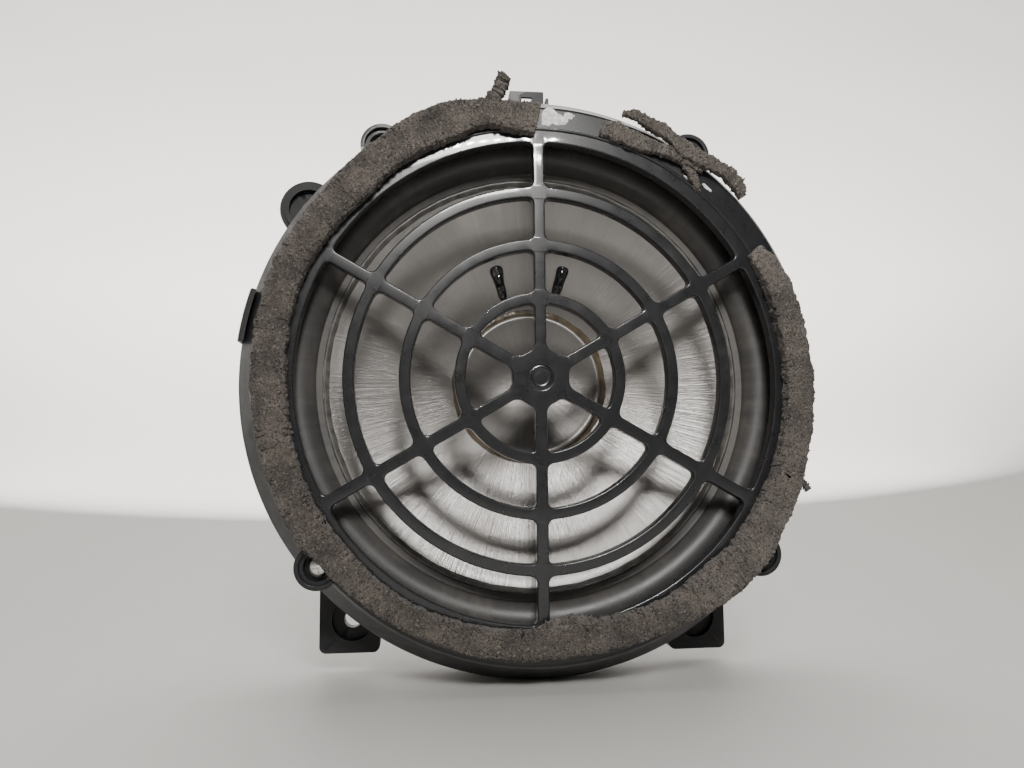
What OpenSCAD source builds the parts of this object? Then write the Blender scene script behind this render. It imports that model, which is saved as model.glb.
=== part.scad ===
// Door woofer with a moulded protective grille, a sealing foam and three mounting lugs.
// Every module is drawn with its axis along +Z and its front up, then stand() turns
// the front to -Y, so that +Z is up and angles run anticlockwise as seen from the front.
// Heights are measured from the seat, the plane of the lugs' rear faces.

/* [Front ring] */
// Outer diameter of the front ring
ring_d = 200; // [196:1:204]
// Diameter of the sound opening
opening_d = 171.2; // [168:0.1:173]
// Height of the grille's front face over the seat
front_h = 38; // [37:0.5:40]
// How much further out the skirt reaches than the front ring
skirt_flare = 6.8; // [5:0.1:8]

/* [Grille] */
// Radii of the three grille rings, at their middle
ring_r = [28.5, 47.8, 67.1];
// Width of a grille ring
bar_w = 4; // [3:0.1:5]
// Depth of the grille's bars
bar_depth = 4.6; // [3:0.1:6]
// Number of grille spokes
spoke_count = 6; // [4:1:8]
// Width across the flats of the grille's hub
hub_af = 20.4; // [18:0.1:24]

/* [Foam] */
// Thickness of the sealing foam
foam_t = 6.5; // [4:0.5:8]
// First and last angle of the long piece of foam
foam_span = [91, 391];

/* [Fixings] */
// Angles of the four screws that hold the front ring
ear_angles = [56, 124, 220, 321];
// Distance of those screws from the axis
ear_r = 100; // [99:0.5:101]
// Angles of the three mounting lugs
lug_angles = [141.3, 232.4, 305];
// Distances of the lugs' holes from the axis
lug_rs = [110, 110.6, 110];
// Radius of the lugs' holes
lug_hole_r = 3.3; // [2.5:0.1:4]

/* [Cone] */
// Radius of the cone's edge
cone_r = 78; // [77:0.5:79]
// Height of the cone's edge
cone_h = 18.6; // [18:0.1:19]
// Radius of the dust cap's rim
cap_r = 27; // [26:0.1:28]

/* [Motor] */
// Outer radius of the magnet
magnet_r = 47; // [44:1:50]
// Thickness of the magnet
magnet_t = 16; // [14:1:18]
// Inner radius of the coil's former
former_r = 18; // [17.5:0.1:18.2]
// Height of the coil's winding
coil_len = 12; // [8:1:14]

/* [Connector] */
// Sideways offset of the connector from the axis
socket_x = -1; // [-5:0.5:5]
// Height of the connector's middle over the seat
socket_h = 7.5; // [7:0.5:8]

/* [Hidden] */
$fn = 128;
eps = 0.05;                                  // overlap that makes a cut run clean through

// Front ring
ring_out = ring_d / 2;
lip_r = opening_d / 2;
lip_w = 4.4;
seat_h = front_h - 1;                        // the foam's seat
skirt_end_h = 23.5;                          // the skirt's end, on the basket's flange
skirt_r = ring_out + skirt_flare;
wall = 2.2;
ear_out = 7.5;                               // radius of an ear
ear_lip_w = 1.5;
ear_lip_h = 1.6;
head_r = 3.8;                                // screw head
head_t = 2.4;
head_recess_r = 4.6;
head_seat_h = 33.4;
screw_r = 1.5;
screw_hole_r = 1.8;
screw_len = 20;
hub_r = hub_af / 2 / cos(30);
hub_gate_r = 4.6;
hub_gate_depth = 0.8;
bar_bevel = 0.9;
spoke_drop = 0.15;                           // the spokes lie a little under the rings' front
spoke_w = bar_w + 0.2;

// Foam
foam_in = 88;
foam_out = 100.5;
strip_span = [37, 68];
strip_in = 93;
strip_t = 4;

// Basket
collar_in = 97.2;
collar_out = 100.8;
flange_t = 3;
flange_low_h = skirt_end_h - flange_t;
ledge_in = 92.4;                             // ledge under the surround
ledge_h = cone_h;
seat_flange_r = skirt_r;
seat_t = 4;
spider_ledge_r = 59.5;
spider_ledge_h = -9;
drum_in = 51;
floor_h = -22;
floor_t = 3;
floor_hole_r = 37;
shell_t = 2.5;
drum_out = drum_in + shell_t;
window_count = 10;
window_w = 20;
window_in = 62;
window_out = 87;
ear_column_r = 4.3;
ear_column_at = 101.6;
rib_t = 2.2;
rib_in = 53;
rib_out = 99;
lug_boss_r = 11.2;
lug_ring_r = 9.4;                            // raised ring around the recess
lug_ring_h = 7.2;
foot_half = 12.2;                            // the lower lugs are square feet with level soles
foot_corner_r = 2.5;
lug_bore_r = 7.6;
lug_top_h = 6.2;
lug_floor_h = 4.6;
lug_web_w = 20;

// Cone
cone_t = 0.7;
neck_h = 0.9;
neck_r = 19.4;
cone_kink_r = 27.5;
cone_kink_h = 3.9;
cone_slope = (cone_h - cone_kink_h) / (cone_r - cone_kink_r);
cone_slope_deg = atan(cone_slope);
function cone_top(r) = cone_kink_h + cone_slope * (r - cone_kink_r);
cone_flange_r = cone_r + 2.3;
blob_r = 41.5;
blob_angles = [106.5, 74];
blob_len = 15;
blob_w = 6;
blob_t = 2.6;

// Surround
roll_in = cone_flange_r + 0.4;
roll_out = 93.4;
roll_mid = (roll_in + roll_out) / 2;
roll_r = (roll_out - roll_in) / 2;
rubber_t = 0.9;
surround_out = collar_in - 0.2;
bond_gap = 0.05;                             // between a moving piece and the soft piece bonded to it

// Motor
top_h = floor_h - floor_t;                   // front of the top plate
top_t = 5;
top_r = 45;
magnet_h = top_h - top_t;
yoke_h = magnet_h - magnet_t;
yoke_t = 6;
yoke_r = 44;
magnet_in = 30;
gap_out = 20.3;
pole_r = former_r - 0.8;
pole_h = top_h + 0.5;
former_t = 0.25;
former_out = former_r + former_t;
coil_in = former_out + 0.02;
coil_out = coil_in + 1.05;
coil_mid_h = top_h - top_t / 2;
former_top_h = neck_h + 1.2;
former_low_h = coil_mid_h - coil_len / 2 - 0.6;
rivet_count = 4;
rivet_circle_r = 41;
rivet_r = 2.2;

// Spider
spider_in = former_out + 0.05;
spider_out = spider_ledge_r - 0.5;
spider_t = 0.6;
spider_wave_in = 21;
spider_wave_out = 51;
spider_waves = 6;
spider_amp = 1.6;
spider_mid_h = spider_ledge_h + bond_gap + spider_t / 2;
spider_steps = 72;

// Connector
socket_w = 13.6;
socket_depth = 10.4;
socket_base = [88.5, 102];                   // the block that fills the collar's window
socket_top_z = 117;
socket_wall = 1.5;
socket_floor_z = 106;
blade_gap = 5;
blade_w = 2.2;
blade_t = 0.8;
blade_z = [82.5, 111.3];
solder_r = 1.7;

// Tinsel leads, as points [x, y, z] from the cone's back to the blade
lead_r = 0.9;
lead_sides = 8;
lead_steps = 9;
left_route = [[-12.6, -7, 42.6], [-12, -2, 49], [-10, 2.6, 57], [-7, 3.4, 66], [-4.6, 0, 74], [-3.5, -4.9, 84]];
right_route = [[12.3, -7, 42.6], [11.6, -2, 49], [9, 2.6, 57], [5.6, 3.4, 66], [2.6, 0, 74], [1.5, -4.9, 84]];

// Rear clip on the rim
clip_mid = 167.5;
clip_span = 10.4;

module stand() { rotate([90, 0, 0]) children(); }
module at(angle, r, h = 0) { rotate(angle) translate([r, 0, h]) children(); }

// A closed tube swept along a smooth curve through the route's points.
function spline_point(p, i, t) =
    let (a = p[max(i - 1, 0)], b = p[i], c = p[i + 1], d = p[min(i + 2, len(p) - 1)])
    0.5 * (2 * b + (c - a) * t + (2 * a - 5 * b + 4 * c - d) * t * t + (3 * b - a - 3 * c + d) * t * t * t);
function spline(p, n) = concat(
    [for (i = [0 : len(p) - 2]) for (k = [0 : n - 1]) spline_point(p, i, k / n)], [p[len(p) - 1]]);
function unit(v) = v / norm(v);
module tube(route, radius, sides) {
    count = len(route);
    dirs = [for (i = [0 : count - 1]) unit(route[min(i + 1, count - 1)] - route[max(i - 1, 0)])];
    side = [for (d = dirs) unit(cross(d, [1, 0, 0.2]))];
    up = [for (i = [0 : count - 1]) cross(side[i], dirs[i])];
    points = [for (i = [0 : count - 1]) for (k = [0 : sides - 1])
        route[i] + radius * (cos(360 * k / sides) * side[i] + sin(360 * k / sides) * up[i])];
    faces = concat(
        [[for (k = [0 : sides - 1]) k]],
        [for (i = [0 : count - 2]) for (k = [0 : sides - 1])
            let (a = i * sides + k, b = i * sides + (k + 1) % sides) [a, a + sides, b + sides, b]],
        [[for (k = [sides - 1 : -1 : 0]) (count - 1) * sides + k]]);
    polyhedron(points, faces);
}

// The bar section of the grille, bevelled towards the front. drop lowers it a little.
function bar_profile(w, x = 0, drop = 0) = [
    [x - w / 2, front_h - bar_depth + drop], [x + w / 2, front_h - bar_depth + drop],
    [x + w / 2, front_h - bar_bevel - drop], [x + w / 2 - bar_bevel, front_h - drop],
    [x - w / 2 + bar_bevel, front_h - drop], [x - w / 2, front_h - bar_bevel - drop]];

module front_grille() {
    color("#1d1e20") stand() difference() {
        union() {
            rotate_extrude() polygon([
                [lip_r, front_h - bar_depth], [lip_r, front_h - 0.8], [lip_r + 0.8, front_h],
                [lip_r + lip_w, front_h], [lip_r + lip_w + 0.2, front_h + 0.6],
                [lip_r + lip_w + 1, front_h + 0.6], [lip_r + lip_w + 1.2, seat_h],
                [ring_out - 1.2, seat_h], [ring_out, seat_h - 1], [skirt_r, skirt_end_h],
                [skirt_r - wall, skirt_end_h], [ring_out - wall, seat_h - wall - 0.6],
                [lip_r + lip_w, seat_h - wall - 0.6], [lip_r + lip_w - 0.8, front_h - bar_depth]]);
            for (r = ring_r) rotate_extrude() polygon(bar_profile(bar_w, r));
            for (i = [0 : spoke_count - 1]) rotate(30 + 360 * i / spoke_count) translate([hub_af / 2 - 2, 0, 0])
                rotate([90, 0, 90]) linear_extrude(lip_r + 1 - hub_af / 2 + 2) polygon(bar_profile(spoke_w, 0, spoke_drop));
            translate([0, 0, front_h - bar_depth + 0.3]) rotate(30) cylinder(h = bar_depth - 0.6, r = hub_r, $fn = 6);
            for (a = ear_angles) at(a, ear_r, skirt_end_h + 0.2) cylinder(h = seat_h - skirt_end_h - 0.4, r = ear_out);
            for (a = ear_angles) at(a, ear_r, seat_h - 1) difference() {
                cylinder(h = 1 + ear_lip_h, r = ear_out - 0.1);
                translate([0, 0, -1]) cylinder(h = 3 + ear_lip_h, r = ear_out - ear_lip_w);
                translate([-ear_out * 2, -ear_out * 2, -1]) cube([ear_out * 2 + 1.3, ear_out * 4, 5]);
            }
        }
        for (a = ear_angles) at(a, ear_r, head_seat_h) cylinder(h = 10, r = head_recess_r);
        for (a = ear_angles) at(a, ear_r, 0) cylinder(h = front_h, r = screw_hole_r);
        translate([0, 0, front_h - 0.3 - hub_gate_depth]) cylinder(h = 2, r = hub_gate_r);
    }
}

module foam_gasket() {
    color("#3a332d") stand() difference() {
        rotate(foam_span[0]) rotate_extrude(angle = foam_span[1] - foam_span[0])
            translate([0, seat_h]) polygon([
                [foam_in + 3.4, 0], [foam_out - 1.2, 0], [foam_out, 1.5], [foam_out, foam_t - 1.5],
                [foam_out - 1.6, foam_t], [foam_in + 1.5, foam_t], [foam_in, foam_t - 1.5],
                [foam_in, 2.4], [foam_in + 3.4, 1.8]]);
        for (a = ear_angles) at(a, ear_r + 1, seat_h - 1) cylinder(h = foam_t + 2, r = ear_out + 0.3);
    }
}

module foam_torn_strip() {
    color("#37312c") stand() difference() {
        rotate(strip_span[0]) rotate_extrude(angle = strip_span[1] - strip_span[0])
            translate([0, seat_h]) polygon([
                [strip_in, 0], [ring_out - 1.2, 0], [ring_out - 0.4, 0.8], [ring_out - 1, strip_t],
                [strip_in + 0.8, strip_t], [strip_in, strip_t - 0.8]]);
        for (a = ear_angles) at(a, ear_r + 1, seat_h - 1) cylinder(h = foam_t + 2, r = ear_out + 0.3);
    }
}

module ear_screws() {
    color("#b9b8b3") stand() for (a = ear_angles) at(a, ear_r) difference() {
        union() {
            rotate_extrude() polygon([
                [0, head_seat_h], [head_r, head_seat_h], [head_r, head_seat_h + 1], [head_r - 0.7, head_seat_h + 2],
                [head_r - 1.8, head_seat_h + head_t], [0, head_seat_h + head_t]]);
            translate([0, 0, head_seat_h - screw_len]) cylinder(h = screw_len, r = screw_r);
        }
        for (k = [0, 90]) rotate(k) translate([-2, -0.4, head_seat_h + head_t - 1.2]) cube([4, 0.8, 2]);
    }
}

module side_clip() {
    color("#232324") stand() rotate(clip_mid - clip_span / 2) rotate_extrude(angle = clip_span)
        polygon([
            [collar_out + 0.4, flange_low_h - 0.1], [skirt_r + 0.2, flange_low_h - 0.1],
            [skirt_r + 0.2, skirt_end_h + 0.1], [skirt_r - 2, skirt_end_h + 6.5], [skirt_r, skirt_end_h + 6.5],
            [skirt_r + 1.4, skirt_end_h + 2], [skirt_r + 1.4, flange_low_h - 2.3], [collar_out + 0.4, flange_low_h - 2.3]]);
}

module basket_shell() {
    rotate_extrude() polygon([
        [ledge_in, ledge_h], [collar_in, ledge_h], [collar_in, skirt_end_h], [skirt_r, skirt_end_h],
        [skirt_r, flange_low_h], [collar_out, flange_low_h], [collar_out, seat_t], [seat_flange_r, seat_t],
        [seat_flange_r, 0], [91.4, 0], [spider_ledge_r + 2, spider_ledge_h - shell_t],
        [drum_out, spider_ledge_h - shell_t], [drum_out, top_h], [floor_hole_r, top_h], [floor_hole_r, floor_h],
        [drum_in, floor_h], [drum_in, spider_ledge_h], [spider_ledge_r, spider_ledge_h], [90, 3],
        [90, ledge_h - 3]]);
}

module lug(i) {
    at(lug_angles[i], lug_rs[i]) {
        cylinder(h = lug_ring_h, r = lug_ring_r);
        if (i == 0) {
            cylinder(h = lug_top_h, r = lug_boss_r);
            translate([-lug_boss_r - 1, -lug_web_w / 2, 0]) cube([lug_boss_r + 1, lug_web_w, seat_t - 0.4]);
        }
    }
    if (i > 0) translate([lug_rs[i] * cos(lug_angles[i]), lug_rs[i] * sin(lug_angles[i]), 0])
        mirror([i == 2 ? 1 : 0, 0, 0]) {
            linear_extrude(lug_top_h) offset(r = foot_corner_r) offset(delta = -foot_corner_r) polygon([
                [-foot_half, -foot_half], [10, -foot_half], [10, 8], [0, 17], [-foot_half, 17]]);
            rotate(225) translate([lug_ring_r - 0.6, -0.6, 0]) cube([5.5, 1.2, lug_ring_h - 0.3]);
        }
}

module basket() {
    color("#17181a") stand() difference() {
        union() {
            basket_shell();
            for (i = [0 : 2]) lug(i);
            for (a = ear_angles) at(a, ear_column_at, 6) cylinder(h = flange_low_h - 5, r = ear_column_r);
            for (i = [0 : window_count - 1]) rotate(90 + 360 * i / window_count) rotate([90, 0, 0])
                translate([0, 0, -rib_t / 2]) linear_extrude(rib_t) polygon([
                    [rib_in, top_h + 0.4], [rib_in + 3, top_h + 0.4], [rib_out, -1], [rib_out, 1], [90, 1],
                    [rib_in + 8, spider_ledge_h - 1], [rib_in, spider_ledge_h - 1]]);
        }
        for (i = [0 : 2]) at(lug_angles[i], lug_rs[i], lug_floor_h) cylinder(h = 20, r = lug_bore_r);
        for (i = [0 : 2]) at(lug_angles[i], lug_rs[i], -eps) cylinder(h = 20, r = lug_hole_r);
        for (a = ear_angles) at(a, ear_r, 10) cylinder(h = 20, r = screw_r);
        for (i = [0 : window_count - 1]) rotate(90 + 360 * (i + 0.5) / window_count)
            translate([window_in, -window_w / 2, spider_ledge_h - 6]) cube([window_out - window_in, window_w, 20]);
        translate([socket_x - socket_w / 2, socket_base[0] - 2, socket_h - socket_depth / 2])
            cube([socket_w, 30, socket_depth]);
        for (i = [0 : rivet_count - 1]) at(45 + 360 * i / rivet_count, rivet_circle_r, top_h - 1)
            cylinder(h = 10, r = rivet_r);
    }
}

// Everything on the connector is drawn in the row frame: x across, y back, z up.
module connector_socket() {
    inner_w = socket_w - 2 * socket_wall;
    inner_d = socket_depth - 2 * socket_wall;
    color("#2a2a2c") difference() {
        union() {
            translate([socket_x - socket_w / 2, -socket_h - socket_depth / 2, socket_base[0]])
                cube([socket_w, socket_depth, socket_top_z - socket_base[0]]);
            translate([socket_x - socket_w / 2 - 1.4, -socket_h - socket_depth / 2 - 1, socket_base[1] + 0.2])
                cube([socket_w + 2.8, socket_depth + 2, 1.6]);
            translate([socket_x + socket_w / 2 - 0.1, -socket_h - 2, socket_top_z - 5]) cube([2.6, 4, 1.4]);
            translate([socket_x + socket_w / 2 + 1.3, -socket_h - 2, socket_top_z - 5]) cube([1.2, 4, 4]);
        }
        translate([socket_x - inner_w / 2, -socket_h - inner_d / 2, socket_floor_z]) cube([inner_w, inner_d, 20]);
        for (s = [-1, 1]) translate([socket_x + s * blade_gap / 2 - blade_w / 2, -socket_h - blade_t / 2, 80])
            cube([blade_w, blade_t, 30]);
        translate([socket_x - 2, -socket_h - socket_depth, socket_top_z - 5]) cube([4, socket_depth, 2.4]);
    }
}

module contact_blades() {
    color("#b08d4a") for (s = [-1, 1])
        translate([socket_x + s * blade_gap / 2 - blade_w / 2, -socket_h - blade_t / 2, blade_z[0]]) {
            cube([blade_w, blade_t, blade_z[1] - blade_z[0] - 1]);
            translate([0.4, 0, 5]) cube([blade_w - 0.8, blade_t, blade_z[1] - blade_z[0] - 5]);
        }
}

module solder_joints() {
    color("#a9aaa8") for (s = [-1, 1])
        translate([socket_x + s * blade_gap / 2, -socket_h + blade_t / 2, blade_z[0] + 1.9]) rotate([-90, 0, 0])
            rotate_extrude() polygon([[0, 0], [solder_r, 0], [solder_r * 0.8, 0.8], [solder_r * 0.4, 1.3], [0, 1.5]]);
}

module surround() {
    land_h = cone_h + bond_gap;
    color("#2c2a29") stand() rotate_extrude() union() {
        translate([cone_r, land_h]) square([roll_in - cone_r + 0.3, rubber_t]);
        translate([roll_out - 0.3, land_h]) square([surround_out - roll_out + 0.3, rubber_t]);
        translate([roll_mid, land_h]) difference() {
            circle(r = roll_r + rubber_t / 2);
            circle(r = roll_r - rubber_t / 2);
            translate([-20, -20]) square([40, 20]);
        }
    }
}

module surround_glue() {
    color("#6b5e4b") stand() rotate_extrude() polygon([
        [cone_r - 2.2, cone_top(cone_r - 2.2) + 0.02], [cone_r - 0.06, cone_h + 0.02],
        [cone_r - 0.06, cone_h + 0.8], [cone_r - 0.8, cone_h + 0.9]]);
}

module cone() {
    color("#8b8985") stand() rotate_extrude() polygon([
        [cone_flange_r, cone_h], [cone_r, cone_h], [cone_kink_r, cone_kink_h], [neck_r, neck_h],
        [former_out + 0.65, neck_h], [former_out + 0.65, -3], [neck_r, -3], [neck_r, neck_h - 1],
        [cone_kink_r, cone_kink_h - cone_t], [cone_r, cone_h - cone_t], [cone_flange_r, cone_h - cone_t]]);
}

module dust_cap() {
    dish_r = cap_r - 1.8;
    dish_low = 2.6;
    dish_deep = 6;
    rim_h = 9.2;
    foot_h = cone_kink_h + 0.3;
    skin = 0.6;
    steps = 12;
    color("#55534f") stand() rotate_extrude() polygon(concat(
        [[cap_r + 0.4, foot_h], [cap_r + 0.4, rim_h - 1], [cap_r, rim_h - 0.2], [cap_r - 0.8, rim_h]],
        [for (i = [steps : -1 : 0]) [dish_r * i / steps, dish_low + dish_deep * pow(i / steps, 2)]],
        [for (i = [0 : steps]) [dish_r * i / steps, dish_low - skin + dish_deep * pow(i / steps, 2)]],
        [[cap_r - 0.8, rim_h - skin], [cap_r - 0.3, rim_h - 1.2], [cap_r - 0.3, foot_h]]));
}

module dust_cap_glue() {
    color("#8f8168") stand() rotate_extrude() polygon([
        [cap_r + 0.42, cone_top(cap_r + 0.42) + 0.04], [cap_r + 3.6, cone_top(cap_r + 3.6) + 0.02],
        [cap_r + 1.3, cone_top(cap_r + 1.3) + 1.2], [cap_r + 0.42, cone_top(cap_r + 0.42) + 2.6]]);
}

module lead_glue(angle) {
    color("#0d0d0e") stand() rotate(angle) translate([blob_r, 0, cone_top(blob_r) + 0.1])
        rotate([0, -cone_slope_deg, 0]) linear_extrude(blob_t) hull() {
            translate([blob_len / 2 - blob_w / 2, 0]) circle(d = blob_w, $fn = 32);
            translate([-blob_len / 2 + 1.4, 0]) circle(r = 1.4, $fn = 24);
        }
}

module lead_glue_left() { lead_glue(blob_angles[0]); }
module lead_glue_right() { lead_glue(blob_angles[1]); }

module tinsel_lead_left() { color("#9a6b45") tube(spline(left_route, lead_steps), lead_r, lead_sides); }
module tinsel_lead_right() { color("#9a6b45") tube(spline(right_route, lead_steps), lead_r, lead_sides); }

module neck_glue() {
    color("#6e5a3a") stand() rotate_extrude() polygon([
        [coil_in, -3.2], [former_out + 0.62, -3.2], [former_out + 0.62, neck_h + 0.4], [coil_in, neck_h + 0.8]]);
}

module coil_former() {
    color("#b58a52") stand() translate([0, 0, former_low_h]) difference() {
        cylinder(h = former_top_h - former_low_h, r = former_out);
        translate([0, 0, -1]) cylinder(h = former_top_h - former_low_h + 2, r = former_r);
    }
}

module voice_coil() {
    color("#b8622f") stand() translate([0, 0, coil_mid_h - coil_len / 2]) difference() {
        cylinder(h = coil_len, r = coil_out);
        translate([0, 0, -1]) cylinder(h = coil_len + 2, r = coil_in);
    }
}

module spider() {
    wave = [for (i = [0 : spider_steps]) let (s = i / spider_steps)
        [spider_wave_in + (spider_wave_out - spider_wave_in) * s,
         spider_mid_h + spider_amp * sin(360 * spider_waves * s)]];
    color("#c08a35") stand() rotate_extrude() polygon(concat(
        [[spider_in, spider_mid_h + 1.5], [spider_in + 1, spider_mid_h + 1.5], [spider_in + 1, spider_mid_h + spider_t / 2]],
        [for (p = wave) [p[0], p[1] + spider_t / 2]],
        [[spider_out, spider_mid_h + spider_t / 2], [spider_out, spider_mid_h - spider_t / 2]],
        [for (i = [spider_steps : -1 : 0]) [wave[i][0], wave[i][1] - spider_t / 2]],
        [[spider_in + 1, spider_mid_h - spider_t / 2], [spider_in + 1, spider_mid_h - 1.5], [spider_in, spider_mid_h - 1.5]]));
}

module top_plate() {
    color("#8e8f90") stand() difference() {
        translate([0, 0, magnet_h]) cylinder(h = top_t, r = top_r);
        translate([0, 0, magnet_h - 1]) cylinder(h = top_t + 2, r = gap_out);
        for (i = [0 : rivet_count - 1]) at(45 + 360 * i / rivet_count, rivet_circle_r, magnet_h - 1)
            cylinder(h = top_t + 2, r = rivet_r);
    }
}

module plate_rivets() {
    color("#9d9e9e") stand() for (i = [0 : rivet_count - 1]) at(45 + 360 * i / rivet_count, rivet_circle_r)
        rotate_extrude() polygon([
            [0, magnet_h + 0.1], [rivet_r, magnet_h + 0.1], [rivet_r, floor_h], [rivet_r + 1.6, floor_h],
            [rivet_r + 1.6, floor_h + 0.7], [rivet_r, floor_h + 1.4], [0, floor_h + 1.5]]);
}

module magnet() {
    color("#37383a") stand() rotate_extrude() polygon([
        [magnet_in, yoke_h], [magnet_r - 0.8, yoke_h], [magnet_r, yoke_h + 0.8], [magnet_r, magnet_h - 0.8],
        [magnet_r - 0.8, magnet_h], [magnet_in, magnet_h]]);
}

module back_yoke() {
    color("#85878a") stand() rotate_extrude() polygon([
        [0, yoke_h - yoke_t], [yoke_r - 2, yoke_h - yoke_t], [yoke_r, yoke_h - yoke_t + 2], [yoke_r, yoke_h],
        [pole_r + 2, yoke_h], [pole_r, yoke_h + 2], [pole_r, pole_h - 0.8], [pole_r - 0.8, pole_h], [0, pole_h]]);
}

front_grille();
foam_gasket();
foam_torn_strip();
ear_screws();
side_clip();
basket();
connector_socket();
contact_blades();
solder_joints();
surround();
surround_glue();
cone();
dust_cap();
dust_cap_glue();
lead_glue_left();
lead_glue_right();
tinsel_lead_left();
tinsel_lead_right();
neck_glue();
coil_former();
voice_coil();
spider();
top_plate();
plate_rivets();
magnet();
back_yoke();
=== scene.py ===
"""Door woofer behind a spoked grille: the finished look of every piece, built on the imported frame."""

import math

import bmesh
import bpy
import numpy as np
from mathutils import Matrix, Vector, geometry, noise


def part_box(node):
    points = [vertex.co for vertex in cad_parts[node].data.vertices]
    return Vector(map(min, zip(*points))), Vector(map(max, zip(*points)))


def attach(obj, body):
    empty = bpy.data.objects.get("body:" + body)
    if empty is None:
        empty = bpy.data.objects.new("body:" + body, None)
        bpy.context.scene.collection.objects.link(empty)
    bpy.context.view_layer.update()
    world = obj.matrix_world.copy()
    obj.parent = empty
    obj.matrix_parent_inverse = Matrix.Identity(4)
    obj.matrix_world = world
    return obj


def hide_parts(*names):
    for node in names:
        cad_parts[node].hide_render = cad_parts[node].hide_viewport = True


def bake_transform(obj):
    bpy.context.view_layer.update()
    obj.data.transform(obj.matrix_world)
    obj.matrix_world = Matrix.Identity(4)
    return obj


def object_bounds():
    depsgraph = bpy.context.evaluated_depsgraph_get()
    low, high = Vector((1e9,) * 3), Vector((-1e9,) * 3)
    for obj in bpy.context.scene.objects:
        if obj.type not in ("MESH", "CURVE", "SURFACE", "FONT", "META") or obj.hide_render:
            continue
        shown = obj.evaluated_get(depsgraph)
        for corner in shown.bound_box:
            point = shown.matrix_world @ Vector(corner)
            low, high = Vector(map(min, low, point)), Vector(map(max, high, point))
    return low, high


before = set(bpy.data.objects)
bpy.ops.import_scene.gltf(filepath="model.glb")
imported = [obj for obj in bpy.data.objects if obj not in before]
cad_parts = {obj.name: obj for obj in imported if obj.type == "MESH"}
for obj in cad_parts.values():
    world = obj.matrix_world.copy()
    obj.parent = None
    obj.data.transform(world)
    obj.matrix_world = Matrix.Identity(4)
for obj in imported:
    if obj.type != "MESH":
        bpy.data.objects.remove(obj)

bl_info = {
    "name": "Door woofer",
    "version": (1, 0, 0),
    "blender": (4, 5, 0),
    "location": "View3D > Sidebar > Woofer",
    "description": "Builds a car door woofer with its grille, worn foam seal and motor",
    "category": "Add Mesh",
}

CAD_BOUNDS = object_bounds()
MM = 0.001
FRONT = "frame"
CONE = "moving_cone"

# Heights are in millimetres over the mounting seat, towards the front, as in the part's own source.
RIDGE_H = -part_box("front_grille")[0].y / MM
SKIRT_END_H = -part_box("front_grille")[1].y / MM
SKIRT_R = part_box("front_grille")[1].x / MM
BARS_H = RIDGE_H - 0.6
SEAT_H = BARS_H - 1
CONE_EDGE_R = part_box("surround_glue")[1].x / MM + 0.06
CONE_EDGE_H = -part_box("cone")[0].y / MM
CONE_FLANGE_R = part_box("cone")[1].x / MM
CAP_OUT_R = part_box("dust_cap")[1].x / MM
CAP_RIM_H = -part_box("dust_cap")[0].y / MM
CAP_FOOT_H = 4.2
# The straight part of the cone starts here, and its sheet is this thick.
NECK_R = 27.5
NECK_H = 3.9
SHEET = 0.7
GLUE_DROP_R = 41.5
FORMER_OUT_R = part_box("coil_former")[1].x / MM
SURROUND_OUT_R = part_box("surround")[1].x / MM
EAR_ANGLES = (56, 124, 220, 321)
EAR_R = 100
EAR_OUT = 7.5
SCREW_SEAT_H = 33.4


def place(angle, radius, height):
    """A point of the speaker in the row frame, from its angle in degrees, its radius and its height in mm."""
    turn = math.radians(angle)
    return Vector((radius * math.cos(turn), -height, radius * math.sin(turn))) * MM


def cone_top(radius):
    """Height of the cone's front face at a radius."""
    return NECK_H + (CONE_EDGE_H - NECK_H) / (CONE_EDGE_R - NECK_R) * (radius - NECK_R)


# ---------------------------------------------------------------- sizes and colours


class WooferSizes(bpy.types.PropertyGroup):
    """Sizes of the pieces that a user would change, in millimetres."""

    opening_radius: bpy.props.FloatProperty(name="Opening radius", description="Radius of the sound opening",
                                            default=85.6, min=70)
    bar_width: bpy.props.FloatProperty(name="Bar width", description="Width of the grille's bars", default=4.0, min=1)
    spoke_width: bpy.props.FloatProperty(name="Spoke width", description="Width of the grille's spokes", default=4.2,
                                         min=1)
    bar_depth: bpy.props.FloatProperty(name="Bar depth", description="Depth of the grille's bars", default=4.6, min=1)
    hub_flats: bpy.props.FloatProperty(name="Hub", description="Width of the hub across its flats", default=20.4,
                                       min=8)
    fillet: bpy.props.FloatProperty(name="Fillet", description="Fillet where spokes meet rings", default=2.2, min=0.2)
    foam_grain: bpy.props.FloatProperty(name="Foam grain", description="Size of the foam's pores", default=0.85,
                                        min=0.3)
    winding_turns: bpy.props.IntProperty(name="Turns", description="Turns of wire in the coil", default=34, min=4)
    spider_waves: bpy.props.IntProperty(name="Spider waves", description="Corrugations of the spider", default=6,
                                        min=1)


def colour(name, text, value):
    """A colour setting."""
    return bpy.props.FloatVectorProperty(name=name, description=text, subtype="COLOR", size=3, default=value, min=0,
                                         max=1)


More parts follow.
